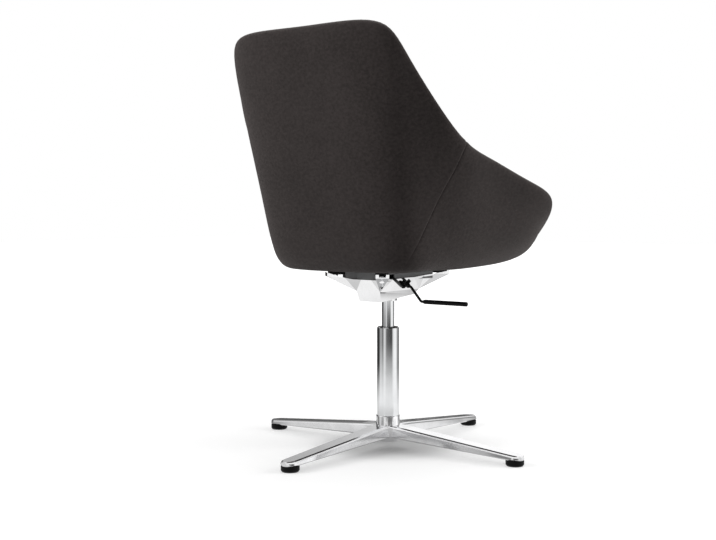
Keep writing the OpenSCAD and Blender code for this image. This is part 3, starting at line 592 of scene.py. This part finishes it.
def columns(v, back_steps=26, front_steps=70):
    """u of every column at the heights v: one row of the result for each height."""
    seam = seam_at(v)[:, None]
    inside = np.linspace(0, 1, back_steps + 1)[None, :-1] * (seam - beside[-1])
    back = np.concatenate([inside, seam - beside[::-1][None, :]], 1)
    out = np.linspace(0, 1, front_steps + 1)[None, 1:]
    front_end = seam + beside[-1]
    rest = front_end + out * (around / 2 - front_end)
    front = np.concatenate([seam + beside[None, 1:], rest], 1)
    half = np.concatenate([back, front], 1)
    return np.concatenate([half, around - half[:, -2:0:-1]], 1)


def sheet(rows, heights):
    """A grid of points of a surface, in rows at the given heights and in the columns above."""
    u = columns(heights)
    return surface_at(rows, u, np.repeat(heights[:, None], u.shape[1], 1))


print("columns:", columns(np.array([5.0])).shape[1])


# %% A closed piece from points
def solid_piece(name, points, faces, finish):
    """An object with a smooth skin whose faces all point outwards."""
    data = bpy.data.meshes.new(name)
    data.from_pydata(points, [], faces)
    mesh = bmesh.new()
    mesh.from_mesh(data)
    bmesh.ops.recalc_face_normals(mesh, faces=mesh.faces)
    mesh.to_mesh(data)
    mesh.free()
    data.materials.append(finish)
    data.shade_smooth()
    print(name, "starts with", len(faces), "faces")
    return add_object(name, data)


def ring_piece(name, rings, finish):
    """Joins rings of points, from the first to the last, and closes both ends with a pole."""
    count, size = len(rings), len(rings[0])
    points = [tuple(p) for ring in rings for p in ring]
    points += [tuple(np.mean(ring, 0)) for ring in (rings[0], rings[-1])]
    pairs = [(i, (i + 1) % size) for i in range(size)]
    faces = []
    for k in range(count - 1):
        a, b = k * size, (k + 1) * size
        faces += [(a + i, a + j, b + j, b + i) for i, j in pairs]
    first_pole, last_pole, last_ring = count * size, count * size + 1, (count - 1) * size
    faces += [(first_pole, j, i) for i, j in pairs]
    faces += [(last_pole, last_ring + i, last_ring + j) for i, j in pairs]
    return solid_piece(name, points, faces, finish)


# %% [markdown]
# The outer cover
#
# The cover is a few millimetres of padded cloth over the moulded board. Cloth that is stretched
# and glued on a board keeps the board's shape, so it needs no cloth solver and is built from
# rings of points. Its outside follows the shell, sinks into a narrow groove along each seam and
# swells very slightly beside it, where the seam allowance is folded under. At the rim it rolls
# in and down to meet the inner pad.

# %% Shape a seam
tiny = 1e-12


def normals_of(grid):
    """Outward unit normals of a grid of points, rows up and columns round."""
    across = np.roll(grid, -1, 1) - np.roll(grid, 1, 1)
    along = np.gradient(grid, axis=0)
    normal = np.cross(along, across)
    normal /= np.maximum(np.linalg.norm(normal, axis=2), tiny)[..., None]
    return normal


def distance_to_line(points, line):
    """Distance of each point from a polyline, both in metres."""
    best = np.full(len(points), np.inf)
    for a, b in zip(line[:-1], line[1:]):
        along = b - a
        share = np.clip((points - a) @ along / max(along @ along, tiny), 0, 1)
        best = np.minimum(best, np.linalg.norm(points - a - share[:, None] * along, axis=1))
    return best


def pulled_in(grid, lines, sink, swell, narrow=1.3 * mm, wide=9 * mm):
    """Moves a grid of points in along seam lines and out a little beside them."""
    flat = grid.reshape(-1, 3)
    near = np.min([distance_to_line(flat, line) for line in lines], 0).reshape(grid.shape[:2])
    step = -sink * np.exp(-((near / narrow) ** 2)) + swell * np.exp(
        -(((near - 0.7 * wide) / (0.6 * wide)) ** 2))
    return grid + step[..., None] * normals_of(grid)


def seam_lines(rows, low):
    """The right and the left seam of a surface, from the height low to the rim."""
    heights = np.linspace(low, rim_v, 160)
    right = surface_at(rows, seam_at(heights), heights)
    return [right, right * [-1, 1, 1]]


outer_rows = shell_rows(0)
cover_seams = seam_lines(outer_rows, low=0.9)
seam_steps = np.linalg.norm(np.diff(cover_seams[0], axis=0), axis=1)
print("each seam of the cover is", round(float(seam_steps.sum()), 3), "m long")

# %% Make the outer cover
cover_t, puff, sag = 8, 1.0 * mm, 3.4 * mm
# a height counts rows of points: about 3 at the underside's edge and 7 on top of the rim
skin_v = np.concatenate([
    np.linspace(0.1, 2.4, 18), np.linspace(2.48, 6.0, 52), np.linspace(6.05, rim_v, 30)])
lining_v = np.array([rim_v, 7.6, 7.0, 6.0, 5.0, 4.0, 3.4, 2.8, 2.0, 1.0, 0.3])
height = skin_v[:, None]
outside = sheet(outer_rows, skin_v)
plump = np.clip((height - 2.5) / 0.8, 0, 1) * np.clip((rim_v - height) / 0.4, 0, 1)
outside += (puff * plump)[..., None] * normals_of(outside)
# at the back, the padding hangs a little lower at the underside's edge
behind = np.clip((outside[..., 1] - 0.05) / 0.1, 0, 1)
outside[..., 2] -= sag * behind * np.exp(-(((height - 2.7) / 0.6) ** 2))
outside = pulled_in(outside, cover_seams, sink=1.5 * mm, swell=0.5 * mm)
lining = sheet(shell_rows(cover_t), lining_v)
cover = ring_piece("outer_cover", list(outside) + list(lining), wool)
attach(cover, "seat")
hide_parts("back_cover")
print("outer cover:", len(cover.data.vertices), "points")

# %% [markdown]
# Spacers, whose black is also painted shade
#
# A black rubber pad sits round each screw boss, between the end of a casting arm and the padded
# shell, and keeps metal from rubbing on cloth. Its black is also painted shade: it fills the
# shadowed gap between the cover and the arm ends. It is round at the screw and tapers towards the
# corner of the plate. A plain ring would miss the taper, and a box would miss the rounded lip, so
# one small rounded outline is carried round the screw's axis, and its reach grows where the pad
# points at the plate. The screws' box and the cover's skin say where it goes.

# %% Shape the rubber spacer pads
boss_reach, boss_hole = 14.6 * mm, 8.3 * mm


def reach_of_hull(points, turn):
    """How far a convex outline round the origin reaches in a direction."""
    far_off = 0.2
    way = Vector((math.cos(turn), math.sin(turn))) * far_off
    for a, b in zip(points, points[1:] + points[:1]):
        hit = intersect_line_line_2d(Vector((0, 0)), way, a, b)
        if hit:
            return hit.length
    raise ValueError("the outline doesn't go round the origin")


def pad_round_boss(place, hull, outline, steps=56, start=0.37):
    """Rings of a pad: a closed outline of (radius, height) that follows a hull."""
    rings = []
    for k in range(steps):
        turn = 2 * math.pi * (k + start) / steps
        more = reach_of_hull(hull, turn) - boss_reach
        rings.append([
            (place.x + (r + more * (r > boss_hole)) * math.cos(turn),
             place.y + (r + more * (r > boss_hole)) * math.sin(turn), z)
            for r, z in outline
        ])
    return rings


print("a spacer is", round(2 * boss_reach / mm, 1), "mm wide at its screw")

# %% Make the rubber spacer pads, whose black is also painted shade
screw_head, spacer_gap, lip = 5 * mm, 0.15 * mm, 0.8 * mm
# the two points of the plate's corner that the pad tapers to
plate_corner = [(61 * mm, 87.5 * mm), (46 * mm, 96.5 * mm)]
screw_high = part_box("support_screws")[1]
boss_x, boss_y = screw_high[0] - screw_head, screw_high[1] - screw_head
skin = np.array([vertex.co for vertex in cover.data.vertices])
over = np.hypot(np.abs(skin[:, 0]) - boss_x, np.abs(skin[:, 1]) - boss_y) < 2 * boss_reach
foot_z, head_z = 391.4 * mm, skin[over, 2].min() - spacer_gap
spacer_outline = [
    (boss_hole, foot_z), (boss_reach - 0.6 * mm, foot_z), (boss_reach, foot_z + lip),
    (boss_reach, head_z - 3.4 * lip), (boss_reach - 0.5 * mm, head_z - 2.8 * lip),
    (boss_reach - 0.5 * mm, head_z - 2.2 * lip), (boss_reach, head_z - 1.6 * lip),
    (boss_reach - 0.2 * mm, head_z - 0.5 * lip), (boss_reach - 0.8 * mm, head_z),
    (boss_hole, head_z),
]
circle_points, last_turn = 48, 6.2
boss_circle = [
    Vector((math.cos(turn), math.sin(turn))) * boss_reach
    for turn in np.linspace(0, last_turn, circle_points)
]
points, faces = [], []
for sx, sy in ((1, 1), (-1, 1), (-1, -1), (1, -1)):
    boss = Vector((sx * boss_x, sy * boss_y))
    rim = boss_circle + [Vector((sx * x, sy * y)) - boss for x, y in plate_corner]
    hull = [rim[i] for i in convex_hull_2d(rim)]
    rings = pad_round_boss(boss, hull, spacer_outline)
    first, size = len(points), len(spacer_outline)
    points += [point for ring in rings for point in ring]
    for k in range(len(rings)):
        a, b = first + k * size, first + (k + 1) % len(rings) * size
        faces += [(a + i, b + i, b + (i + 1) % size, a + (i + 1) % size) for i in range(size)]
# the pads' black also stands in for the shade in the gap under the shell: painted shade
spacers_and_painted_shade = solid_piece("rubber_spacers", points, faces, rubber)
spacers_and_painted_shade.data.set_sharp_from_angle(angle=math.radians(50))
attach(spacers_and_painted_shade, "seat")
print("spacers_and_painted_shade", round((head_z - foot_z) / mm, 1), "mm high")

# %% [markdown]
# The inner pad
#
# The inside of the bucket is moulded foam under the same wool, thicker than the outside. It
# lies on the board, rises over the arms and rolls over the rim to the cover's edge. The same
# two seams cross it, and half-way up the wall the foam is a little fuller. Moulded foam hardly
# gives, so it is built from rings of points as the cover is. Its rear face lies under the cover
# and the board, and its front face is set out by the foam's own thickness.

# %% Rows of the inner pad's two faces
board_t, layer_gap = 8.5, 0.9
pad_from = cover_t + board_t + 2 * layer_gap
pad_floor_t, wall_t = 36, 40


def pad_back_rows():
    rows = shell_rows(pad_from)
    rows[8] = rims - (rim_in + 0.5) * outward
    rows[7] = rows[8] - 10 * up
    return rows


def pad_front_rows():
    rows = shell_rows(pad_floor_t)
    rows[3] = shell_rows(pad_floor_t + 2)[3]
    rows[4:7] = shell_rows(wall_t)[4:7]
    rows[7] = rims + up - (wall_t - 3) * outward
    rows[8] = rims - (rim_in + 1) * outward
    return rows


print("foam on the wall:", round(wall_t - pad_from, 1), "mm")

# %% Make the inner pad
fullness = 3 * mm
front_rows = pad_front_rows()
face = sheet(front_rows, skin_v)
full = np.clip((height - 3.6) / 1.2, 0, 1) * np.clip((7.4 - height) / 1.4, 0, 1)
face -= (fullness * full)[..., None] * normals_of(face)
face = pulled_in(face, seam_lines(front_rows, low=3.0), sink=2.0 * mm, swell=0.0)
rear = sheet(pad_back_rows(), lining_v[::-1])
pad = ring_piece("inner_pad_cover", list(rear) + list(face[::-1]), wool)
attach(pad, "seat")
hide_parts("inner_pad")
print("inner pad:", len(pad.data.vertices), "points")

# %% [markdown]
# The seat cushion
#
# The cushion lies in the bucket: a flat foot on the pad, sides that are drawn in below a sewn
# edge, and a crowned top. Bulges drawn by hand look even and dead, so here a cloth solver finds
# them. The cushion starts as a closed form a little smaller than the finished one. Its skin is
# remeshed into even squares, held along the sewn edge, and blown up like a balloon with the air
# barely on. The cloth above and below the held line swells and wrinkles as a stuffed cover does.
# The last step lifts what would sink into the pad.

# %% The cushion's plain form
pad_floor = underside + pad_floor_t
seat_gap, cushion_gap = 0.3, 8
seat_z = pad_floor + seat_gap
edge_rise, crown_rise = 26, 46


def cushion_rows(shrink):
    """Rows of the cushion's skin, from the middle of its foot to the middle of its crown."""
    at = (feet - (pad_floor_t + cushion_gap + shrink) * outward) * [1, 1, 0]
    rise = feet[:, 2:3]
    climb = rims - corner
    lean = np.sum(climb * outward, 1) / climb[:, 2]
    flare = (lean * (pad_floor + edge_rise - corner[:, 2]))[:, None]

    def row(share, z, out=0.0):
        return floor_middle + (at - floor_middle) * share + out * outward + z * up

    return np.array([
        row(0, seat_z), row(0.5, seat_z + 0.35 * rise), row(0.88, seat_z + 0.9 * rise),
        row(1, seat_z + 12, 2), row(1, seat_z + 0.6 * edge_rise, 0.35 * flare - 1),
        row(1, seat_z + edge_rise, flare), row(0.9, seat_z + edge_rise + 12, 0.9 * flare),
        row(0.5, seat_z + crown_rise), row(0, seat_z + crown_rise),
    ])


def cushion_grid(heights, rows, steps=160):
    u = np.repeat(np.linspace(0, around, steps, endpoint=False)[None, :], len(heights), 0)
    return surface_at(rows, u, np.repeat(heights[:, None], steps, 1))


small_rows = cushion_rows(shrink=2.0)
cushion_v, edge_v = np.linspace(0.2, 7.8, 40), 5.1
cushion = ring_piece("seat_cushion_cover", list(cushion_grid(cushion_v, small_rows)), wool)
edge_line = cushion_grid(np.array([edge_v]), small_rows)[0]
print("cushion form:", [round(x, 3) for x in cushion.dimensions])


# %% Blow a form up with cloth
def even_skin(made, voxel):
    remesh = made.modifiers.new("even skin", "REMESH")
    remesh.mode = "VOXEL"
    remesh.voxel_size = voxel
    bake_modifiers(made)


def blow_up(made, held_line, reach, cap, frames=20):
    """Swells a closed form under pressure; points within reach of the held line stay put."""
    count = len(made.data.vertices)
    start = np.zeros(count * 3)
    made.data.vertices.foreach_get("co", start)
    start = start.reshape(-1, 3)
    line = np.concatenate([held_line, held_line[:1]])
    near = distance_to_line(start, line)
    held = made.vertex_groups.new(name="held")
    for index in np.nonzero(near < reach)[0]:
        held.add([int(index)], 1.0, "REPLACE")
    cloth = made.modifiers.new("cloth", "CLOTH")
    cloth.settings.quality = 4
    cloth.settings.mass = 0.3
    cloth.settings.bending_stiffness = 0.6
    cloth.settings.vertex_group_mass = "held"
    cloth.settings.use_pressure = True
    cloth.settings.uniform_pressure_force = 4
    cloth.settings.effector_weights.gravity = 0
    cloth.point_cache.frame_end = frames
    scene = bpy.context.scene
    for frame_number in range(1, frames + 1):
        scene.frame_set(frame_number)
    graph = bpy.context.evaluated_depsgraph_get()
    swollen = made.evaluated_get(graph)
    end = np.zeros(count * 3)
    swollen.data.vertices.foreach_get("co", end)
    move = end.reshape(-1, 3) - start
    length = np.maximum(np.linalg.norm(move, axis=1), tiny)
    move *= np.minimum(1, cap / length)[:, None]
    made.modifiers.remove(cloth)
    scene.frame_set(1)
    made.data.vertices.foreach_set("co", (start + move).ravel())
    made.data.update()
    print("cloth moved", count, "points by up to", round(float(length.max()) / mm, 1), "mm")


even_skin(cushion, voxel=5 * mm)
blow_up(cushion, edge_line, reach=3.5 * mm, cap=7 * mm)


# %% Keep the cushion clear of the pad, and smooth its skin
def tree_of(made):
    """A piece's faces in a form that finds the nearest one, or the one that a ray hits."""
    graph = bpy.context.evaluated_depsgraph_get()
    return BVHTree.FromObject(made, graph)


def rest_on(made, floor_tree, gap):
    """Lifts points that lie closer than gap to a surface below them, and counts them."""
    above, down, ray_length = Vector((0, 0, 0.05)), Vector((0, 0, -1)), 0.3
    moved = 0
    for vertex in made.data.vertices:
        spot = floor_tree.ray_cast(vertex.co + above, down, ray_length)[0]
        if spot is not None and vertex.co.z < spot.z + gap:
            vertex.co.z = spot.z + gap
            moved += 1
    return moved


smooth = cushion.modifiers.new("relax", "SMOOTH")
smooth.factor = 0.5
smooth.iterations = 3
finer = cushion.modifiers.new("finer", "SUBSURF")
finer.levels = finer.render_levels = 1
bake_modifiers(cushion)
lifted = rest_on(cushion, tree_of(pad), seat_gap * mm)
cushion.data.shade_smooth()
cushion.data.materials.clear()
cushion.data.materials.append(wool)
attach(cushion, "seat")
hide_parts("seat_cushion")
print("cushion:", len(cushion.data.vertices), "points,", lifted, "rest on the pad")

# %% [markdown]
# Things that follow a path
#
# Piping, stitches and the lever's wire all follow a line. Code could place every point of them,
# but Geometry Nodes suit them better: the line is a bare mesh of edges, a tree turns it into a
# curve, and the sizes are named inputs of the tree, so the same tree serves every line. What
# comes out is made a plain mesh.


# %% Lines and trees of Geometry Nodes
def path_object(name, points, closed=False, leans=None):
    """A bare line of edges; leans are the directions that things standing on it point in."""
    count = len(points)
    edges = [(i, i + 1) for i in range(count - 1)] + ([(count - 1, 0)] if closed else [])
    data = bpy.data.meshes.new(name)
    data.from_pydata([tuple(p) for p in points], edges, [])
    if leans is not None:
        lean = data.attributes.new("lean", "FLOAT_VECTOR", "POINT")
        lean.data.foreach_set("vector", np.asarray(leans, np.float32).ravel())
    return add_object(name, data)


class Pattern(Tree):
    """A Geometry Nodes tree with named sizes."""

    def __init__(self, name, **sizes):
        super().__init__(bpy.data.node_groups.new(name, "GeometryNodeTree"), "GeometryNode")
        sockets = self.tree.interface
        sockets.new_socket("Line", in_out="INPUT", socket_type="NodeSocketGeometry")
        for label, value in sizes.items():
            made = sockets.new_socket(label.replace("_", " "), in_out="INPUT",
                                      socket_type="NodeSocketFloat")
            made.default_value = value
        sockets.new_socket("Geometry", in_out="OUTPUT", socket_type="NodeSocketGeometry")
        self.line = self.node("NodeGroupInput", {}, output="Line")

    def size(self, label):
        return Wire(self, self.line.socket.node.outputs[label])

    def finish_with(self, geometry, material):
        """Ends the tree: real geometry, smooth faces and a material."""
        real = self.node("RealizeInstances", {}, geometry)
        soft = self.node("SetShadeSmooth", {}, real)
        done = self.node("SetMaterial", {}, soft, Material=material)
        self.node("NodeGroupOutput", {}, done)

    def along(self, line, **sizes):
        """Runs the tree on a line and keeps the result as a plain mesh."""
        modifier = line.modifiers.new("pattern", "NODES")
        modifier.node_group = self.tree
        for item in self.tree.interface.items_tree:
            label = item.name.replace(" ", "_")
            if item.in_out == "INPUT" and label in sizes:
                modifier[item.identifier] = float(sizes[label])
        bake_modifiers(line)
        print(line.name, "has", len(line.data.polygons), "faces")
        return line


# %% Trees for round cord and for stitches
def cord_pattern(name, material, bend):
    cord = Pattern(name, Diameter=0.004, Bend_Radius=0.008)
    curve = cord.node("MeshToCurve", {}, cord.line)
    if bend:
        curve = cord.node("FilletCurve", {"mode": "POLY"}, curve, Count=8,
                          Radius=cord.size("Bend Radius"), Limit_Radius=True)
    round_end = cord.node("CurvePrimitiveCircle", {}, Resolution=20,
                          Radius=cord.size("Diameter") * 0.5)
    tube = cord.node("CurveToMesh", {}, Curve=curve, Profile_Curve=round_end, Fill_Caps=True)
    cord.finish_with(tube, material)
    return cord


def stitch_pattern(name, material):
    sewn = Pattern(name, Pitch=0.0075, Length=0.0052, Thickness=0.0009, Slant=0.08)
    curve = sewn.node("MeshToCurve", {}, sewn.line)
    even = sewn.node("ResampleCurve", {"mode": "LENGTH"}, curve, Length=sewn.size("Pitch"))
    bead = sewn.node("MeshUVSphere", {}, Segments=8, Rings=6, Radius=0.5)
    shape = sewn.node("ShaderNodeCombineXYZ", {}, sewn.size("Length"), sewn.size("Thickness"),
                      sewn.size("Thickness"))
    stitch = sewn.node("Transform", {}, bead, Scale=shape)
    tangent = sewn.node("InputTangent", {})
    lean = sewn.node("InputNamedAttribute", {"data_type": "FLOAT_VECTOR"}, "lean")
    facing = sewn.node("FunctionNodeAlignRotationToVector", {"axis": "X"}, Vector=tangent)
    standing = sewn.node("FunctionNodeAlignRotationToVector", {"axis": "Z", "pivot_axis": "X"},
                         Rotation=facing, Vector=lean)
    wander = sewn.node("FunctionNodeRandomValue", {"data_type": "FLOAT"}, Seed=7, output=1)
    turn = sewn.node("ShaderNodeCombineXYZ", {}, 0.0, 0.0, sewn.size("Slant") * (wander - 0.5))
    slanted = sewn.node("FunctionNodeRotateRotation", {"rotation_space": "LOCAL"}, standing, turn)
    row = sewn.node("InstanceOnPoints", {}, even, Instance=stitch, Rotation=slanted)
    sewn.finish_with(row, material)
    return sewn


piping_pattern = cord_pattern("piping along a line", wool, bend=False)
wire_pattern = cord_pattern("bent wire", black_wire, bend=True)
stitches = stitch_pattern("stitches along a line", thread)
print("patterns:", [pattern.tree.name for pattern in (piping_pattern, wire_pattern, stitches)])

# %% [markdown]
# Piping and stitches
#
# The cushion's sewn edge is finished with a thin piping of the same wool, laid where the skin
# was held. A row of stitches holds the inner pad's edge to the cover all round the rim. Both
# could follow the plain forms, but the skins have moved since, so each line is first laid on the
# finished skin, and nothing floats above it or sinks into it.


# %% Sew the upholstery
def laid_on(points, made, lift):
    """Moves points to the nearest place on a piece, lifted off it, and gives its normals."""
    tree = tree_of(made)
    places, leans = [], []
    for point in points:
        spot, normal, _, _ = tree.find_nearest(Vector(point))
        places.append(spot + normal * lift)
        leans.append(normal)
    return np.array(places), np.array(leans)


def ride_along(made, body="seat"):
    """Lets a small piece ride on a body."""
    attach(made, body)


edge_places, _ = laid_on(edge_line, cushion, lift=0.4 * mm)
edge_places = np.mean([np.roll(edge_places, k, 0) for k in range(-2, 3)], 0)
piping = path_object("cushion_piping", edge_places, closed=True)
ride_along(piping_pattern.along(piping, Diameter=4.2 * mm))

rim_points, stitch_v = 700, 7.66
rim_u = np.linspace(0, around, rim_points, endpoint=False)
rim_line = surface_at(front_rows, rim_u, np.full(rim_points, stitch_v))
rim_path, rim_leans = laid_on(rim_line, pad, lift=0.1 * mm)
rim_stitches = path_object("rim_stitches", rim_path, closed=True, leans=rim_leans)
ride_along(stitches.along(rim_stitches))

# %% [markdown]
# The lever
#
# One steel wire, bent cold: it lies on the release pin, runs out between plate and casting, turns
# down through two clips, and drops again to the grip. Its solid has coarse bends, and smoothing
# them would thin the wire, so it is swept again. Its corner points are those of the solid, and
# the tree rounds each bend.

# %% Bend the lever's wire
wire_points = mm * np.array([
    (5, 0, 388.0), (-22, 26, 388.0), (-50, 59, 389.0), (-64, 71, 389.0),
    (-64.965, 60, 380.53), (-49.965, 18, 365.03), (-49.965, -14.5, 365.03),
    (-81, -14.5, 330.5), (-196, -14.5, 330.5),
])
lever = path_object("lever_wire", wire_points)
wire_pattern.along(lever, Diameter=6 * mm, Bend_Radius=7 * mm)
ride_along(lever, "lever")
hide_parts("height_lever")

# %% [markdown]
# Floor and studio
#
# The chair stands on a pale floor that runs on into a white backdrop. No lamp has to burn them
# out: to the camera the world is plain white, and the floor adds a white of its own that is weak
# under the chair and strong further out, so a soft shadow stays at the base. That shadow is partly
# the lamps' own and partly painted shade, where the floor's white is weakest, and the open side
# gets a little painted light. Polished metal looks like what surrounds it, so mirror rays see
# another room: light and dark screens in a ring round the chair, a dimmer floor that glows with a
# painted reflection, darkest at the column as painted shadow, and a bright ceiling, all placed by
# directions in the room. The cloth is lit by three large soft lamps, which mirror rays don't see,
# because a lamp's image is a hard white patch on metal.

# %% Directions in the room, seen from above
past_chair, open_side, dark_side = (0.62, -0.79), (-0.78, -0.62), (0.85, -0.53)
print("the dark screen overhead hangs towards", dark_side)


def toward(x, y, way):
    """How far a place lies along a level direction."""
    return x * way[0] + y * way[1]


def parts_of(tree, vector):
    """The three numbers of a vector."""
    split = tree.node("SeparateXYZ", {}, vector).socket.node
    return [Wire(tree, split.outputs[axis]) for axis in range(3)]


def ray_is(tree, kind):
    """1 where the ray that meets the surface is of that kind, and 0 elsewhere."""
    return tree.node("LightPath", {}, output=f"Is {kind} Ray")


# %% The ring of screens
screen_levels = [
    (-180, 0.75), (-169, 1.0), (-142, 1.0), (-126, 0.48), (-107, 0.10), (-75, 0.5), (-60, 1.0),
    (-55, 0.95), (-50, 0.4), (-40, 0.1), (-20, 0.03), (18, 0.03), (35, 0.28), (49, 0.48),
    (61, 0.22), (73, 0.165), (84, 0.64), (95, 0.81), (106, 0.26), (116, 0.13), (127, 0.10),
    (147, 0.075), (158, 0.05), (168, 0.085), (180, 0.75),
]


def screens(tree, x, y):
    """Light and dark screens round the chair, by their direction from its axis."""
    turn = x.math("ARCTAN2", y, x) * (0.5 / math.pi) + 0.5
    stops = [(degrees / 360 + 0.5, level) for degrees, level in screen_levels]
    return tree.node("ValToRGB", {}, turn, stops=stops)


print("stops round the ring of screens:", len(screen_levels))

# %% The floor as mirror rays see it
floor_reach, floor_z = 14, -0.4 * mm
floor_corners = [
    (x * floor_reach, y * floor_reach, floor_z) for x, y in ((-1, -1), (1, -1), (1, 1), (-1, 1))
]
floor_data = bpy.data.meshes.new("floor")
floor_data.from_pydata(floor_corners, [], [(0, 1, 2, 3)])
floor = add_object("floor", floor_data)
pale = Finish("pale floor", (0.9, 0.9, 0.9))
x, y, _ = parts_of(pale, pale.place)
distance = pale.node("VectorMath", {"operation": "LENGTH"}, pale.place, output="Value")
# painted shade in the floor's mirror image: dark at the column, where the chair shades the floor,
# lighter towards the glides, and lighter in front of the chair, the side the light comes from
front = (y * -1).between(-0.02, 0.12)
arms, glides = distance.between(0.1, 0.4), distance.between(0.42, 0.68)
near = arms * 0.37 + 0.3 + glides * 0.31 + front * (0.28 - glides * 0.26)
# further out: the image of the screens, which fades to white except past the chair
past = toward(x, y, past_chair)
away = past.between(0.0, 0.3)
far = distance.between(0.3 - 0.1 * away, 2.25 - 0.75 * away)
wall = screens(pale, x, y)
wall = wall + (1 - wall) * distance.between(2.6, 5.6) * (1 - away)
# straight past the chair: one dark patch
patch = (past / distance).between(0.8, 0.95)
mirrored = (near * (1 - far) + wall * far) * (1 - 0.9 * patch * distance.between(0.5, 1.1))
print("the floor's mirror image takes", len(pale.tree.nodes), "nodes")

# %% The floor as the camera sees it, and the two together
gloss, seen = ray_is(pale, "Glossy"), ray_is(pale, "Camera")
# painted shade and light: the floor's own white is weakest at the column and under the arms, so the
# floor is darker there than the lamps' shadow alone makes it; the extra white on the open side is
# painted light
white = 0.13 + 0.29 * distance.between(0.08, 0.2) + 0.5 * distance.between(0.42, 1.2)
white = white + 0.06 * toward(x, y, open_side).between(0.0, 0.35)
pale.surface(
    Base_Color=pale.blend(seen, (0.3, 0.3, 0.3, 1), (0.62, 0.62, 0.62, 1)),
    Roughness=0.6,
    Specular_IOR_Level=0.2,
    Emission_Strength=1.0,
    Emission_Color=pale.blend(seen * white, (0, 0, 0, 1), (1, 1, 1, 1)),
)
glow = pale.node("Emission", {}, Color=(1, 1, 1, 1), Strength=mirrored)
lit = Wire(pale, pale.shader.outputs[0])
both = pale.node("MixShader", {}, gloss, lit, glow)
pale.tree.links.new(both.socket, pale.tree.nodes["Material Output"].inputs["Surface"])
floor_data.materials.append(pale.material)
print("floor is", 2 * floor_reach, "m wide")

# %% The world round the chair
world = bpy.data.worlds.new("white studio")
bpy.context.scene.world = world
world.use_nodes = True
studio = Tree(world.node_tree)
x, y, z = parts_of(studio, studio.node("TexCoord", {}, output="Generated"))
# a bright ceiling with one dark screen hung in it
ceiling = z.between(0.34, 0.75) * (1 - 0.9 * toward(x, y, dark_side).between(0.74, 0.79))
# the ring of screens: lifted a little at the horizon, but past the chair dark, and lighter above
horizon = 1 - z.between(0.05, 0.16)
gap = toward(x, y, past_chair).between(0.6, 0.9)
shade = horizon * gap
low = screens(studio, x, y) * (1 - shade) + 0.03 + 0.22 * (horizon - shade)
low = low + 0.18 * gap * z.between(0.25, 0.34)
mirror_light = low * (1 - ceiling) + ceiling
# each kind of ray has its own light: white for the camera, the room for mirrors, else ambient
ambient = 0.4
gloss, camera_ray = ray_is(studio, "Glossy"), ray_is(studio, "Camera")
strength = ambient + gloss * (mirror_light - ambient) + camera_ray * (1 - ambient)
background = studio.tree.nodes["Background"]
background.inputs["Color"].default_value = (1, 1, 1, 1)
studio.tree.links.new(strength.socket, background.inputs["Strength"])
print("ambient light:", ambient)


# %% Soft lamps
def soft_lamp(name, place, aim, width, height, power):
    """A large lamp that shines from place to aim and has no image in metal."""
    data = bpy.data.lights.new(name, "AREA")
    data.shape = "RECTANGLE"
    data.size, data.size_y = width, height
    data.energy = power
    lamp = bpy.data.objects.new(name, data)
    bpy.context.scene.collection.objects.link(lamp)
    lamp.location = place
    lamp.visible_glossy = False
    lamp.rotation_euler = (Vector(aim) - Vector(place)).to_track_quat("-Z", "Y").to_euler()
    print(name, "shines", power, "W")


soft_lamp("rear lamp", (2.0, 2.5, 1.9), (0, 0.1, 0.6), 1.6, 1.6, 64)
soft_lamp("side lamp", (-2.6, -1.7, 1.6), (0, 0, 0.6), 1.4, 1.8, 54)
soft_lamp("top lamp", (0, -0.2, 3.2), (0, 0, 0), 2.5, 2.5, 42)

# %% Show colours as they are written
bpy.context.scene.view_settings.view_transform = "Standard"
print("view transform:", bpy.context.scene.view_settings.view_transform)
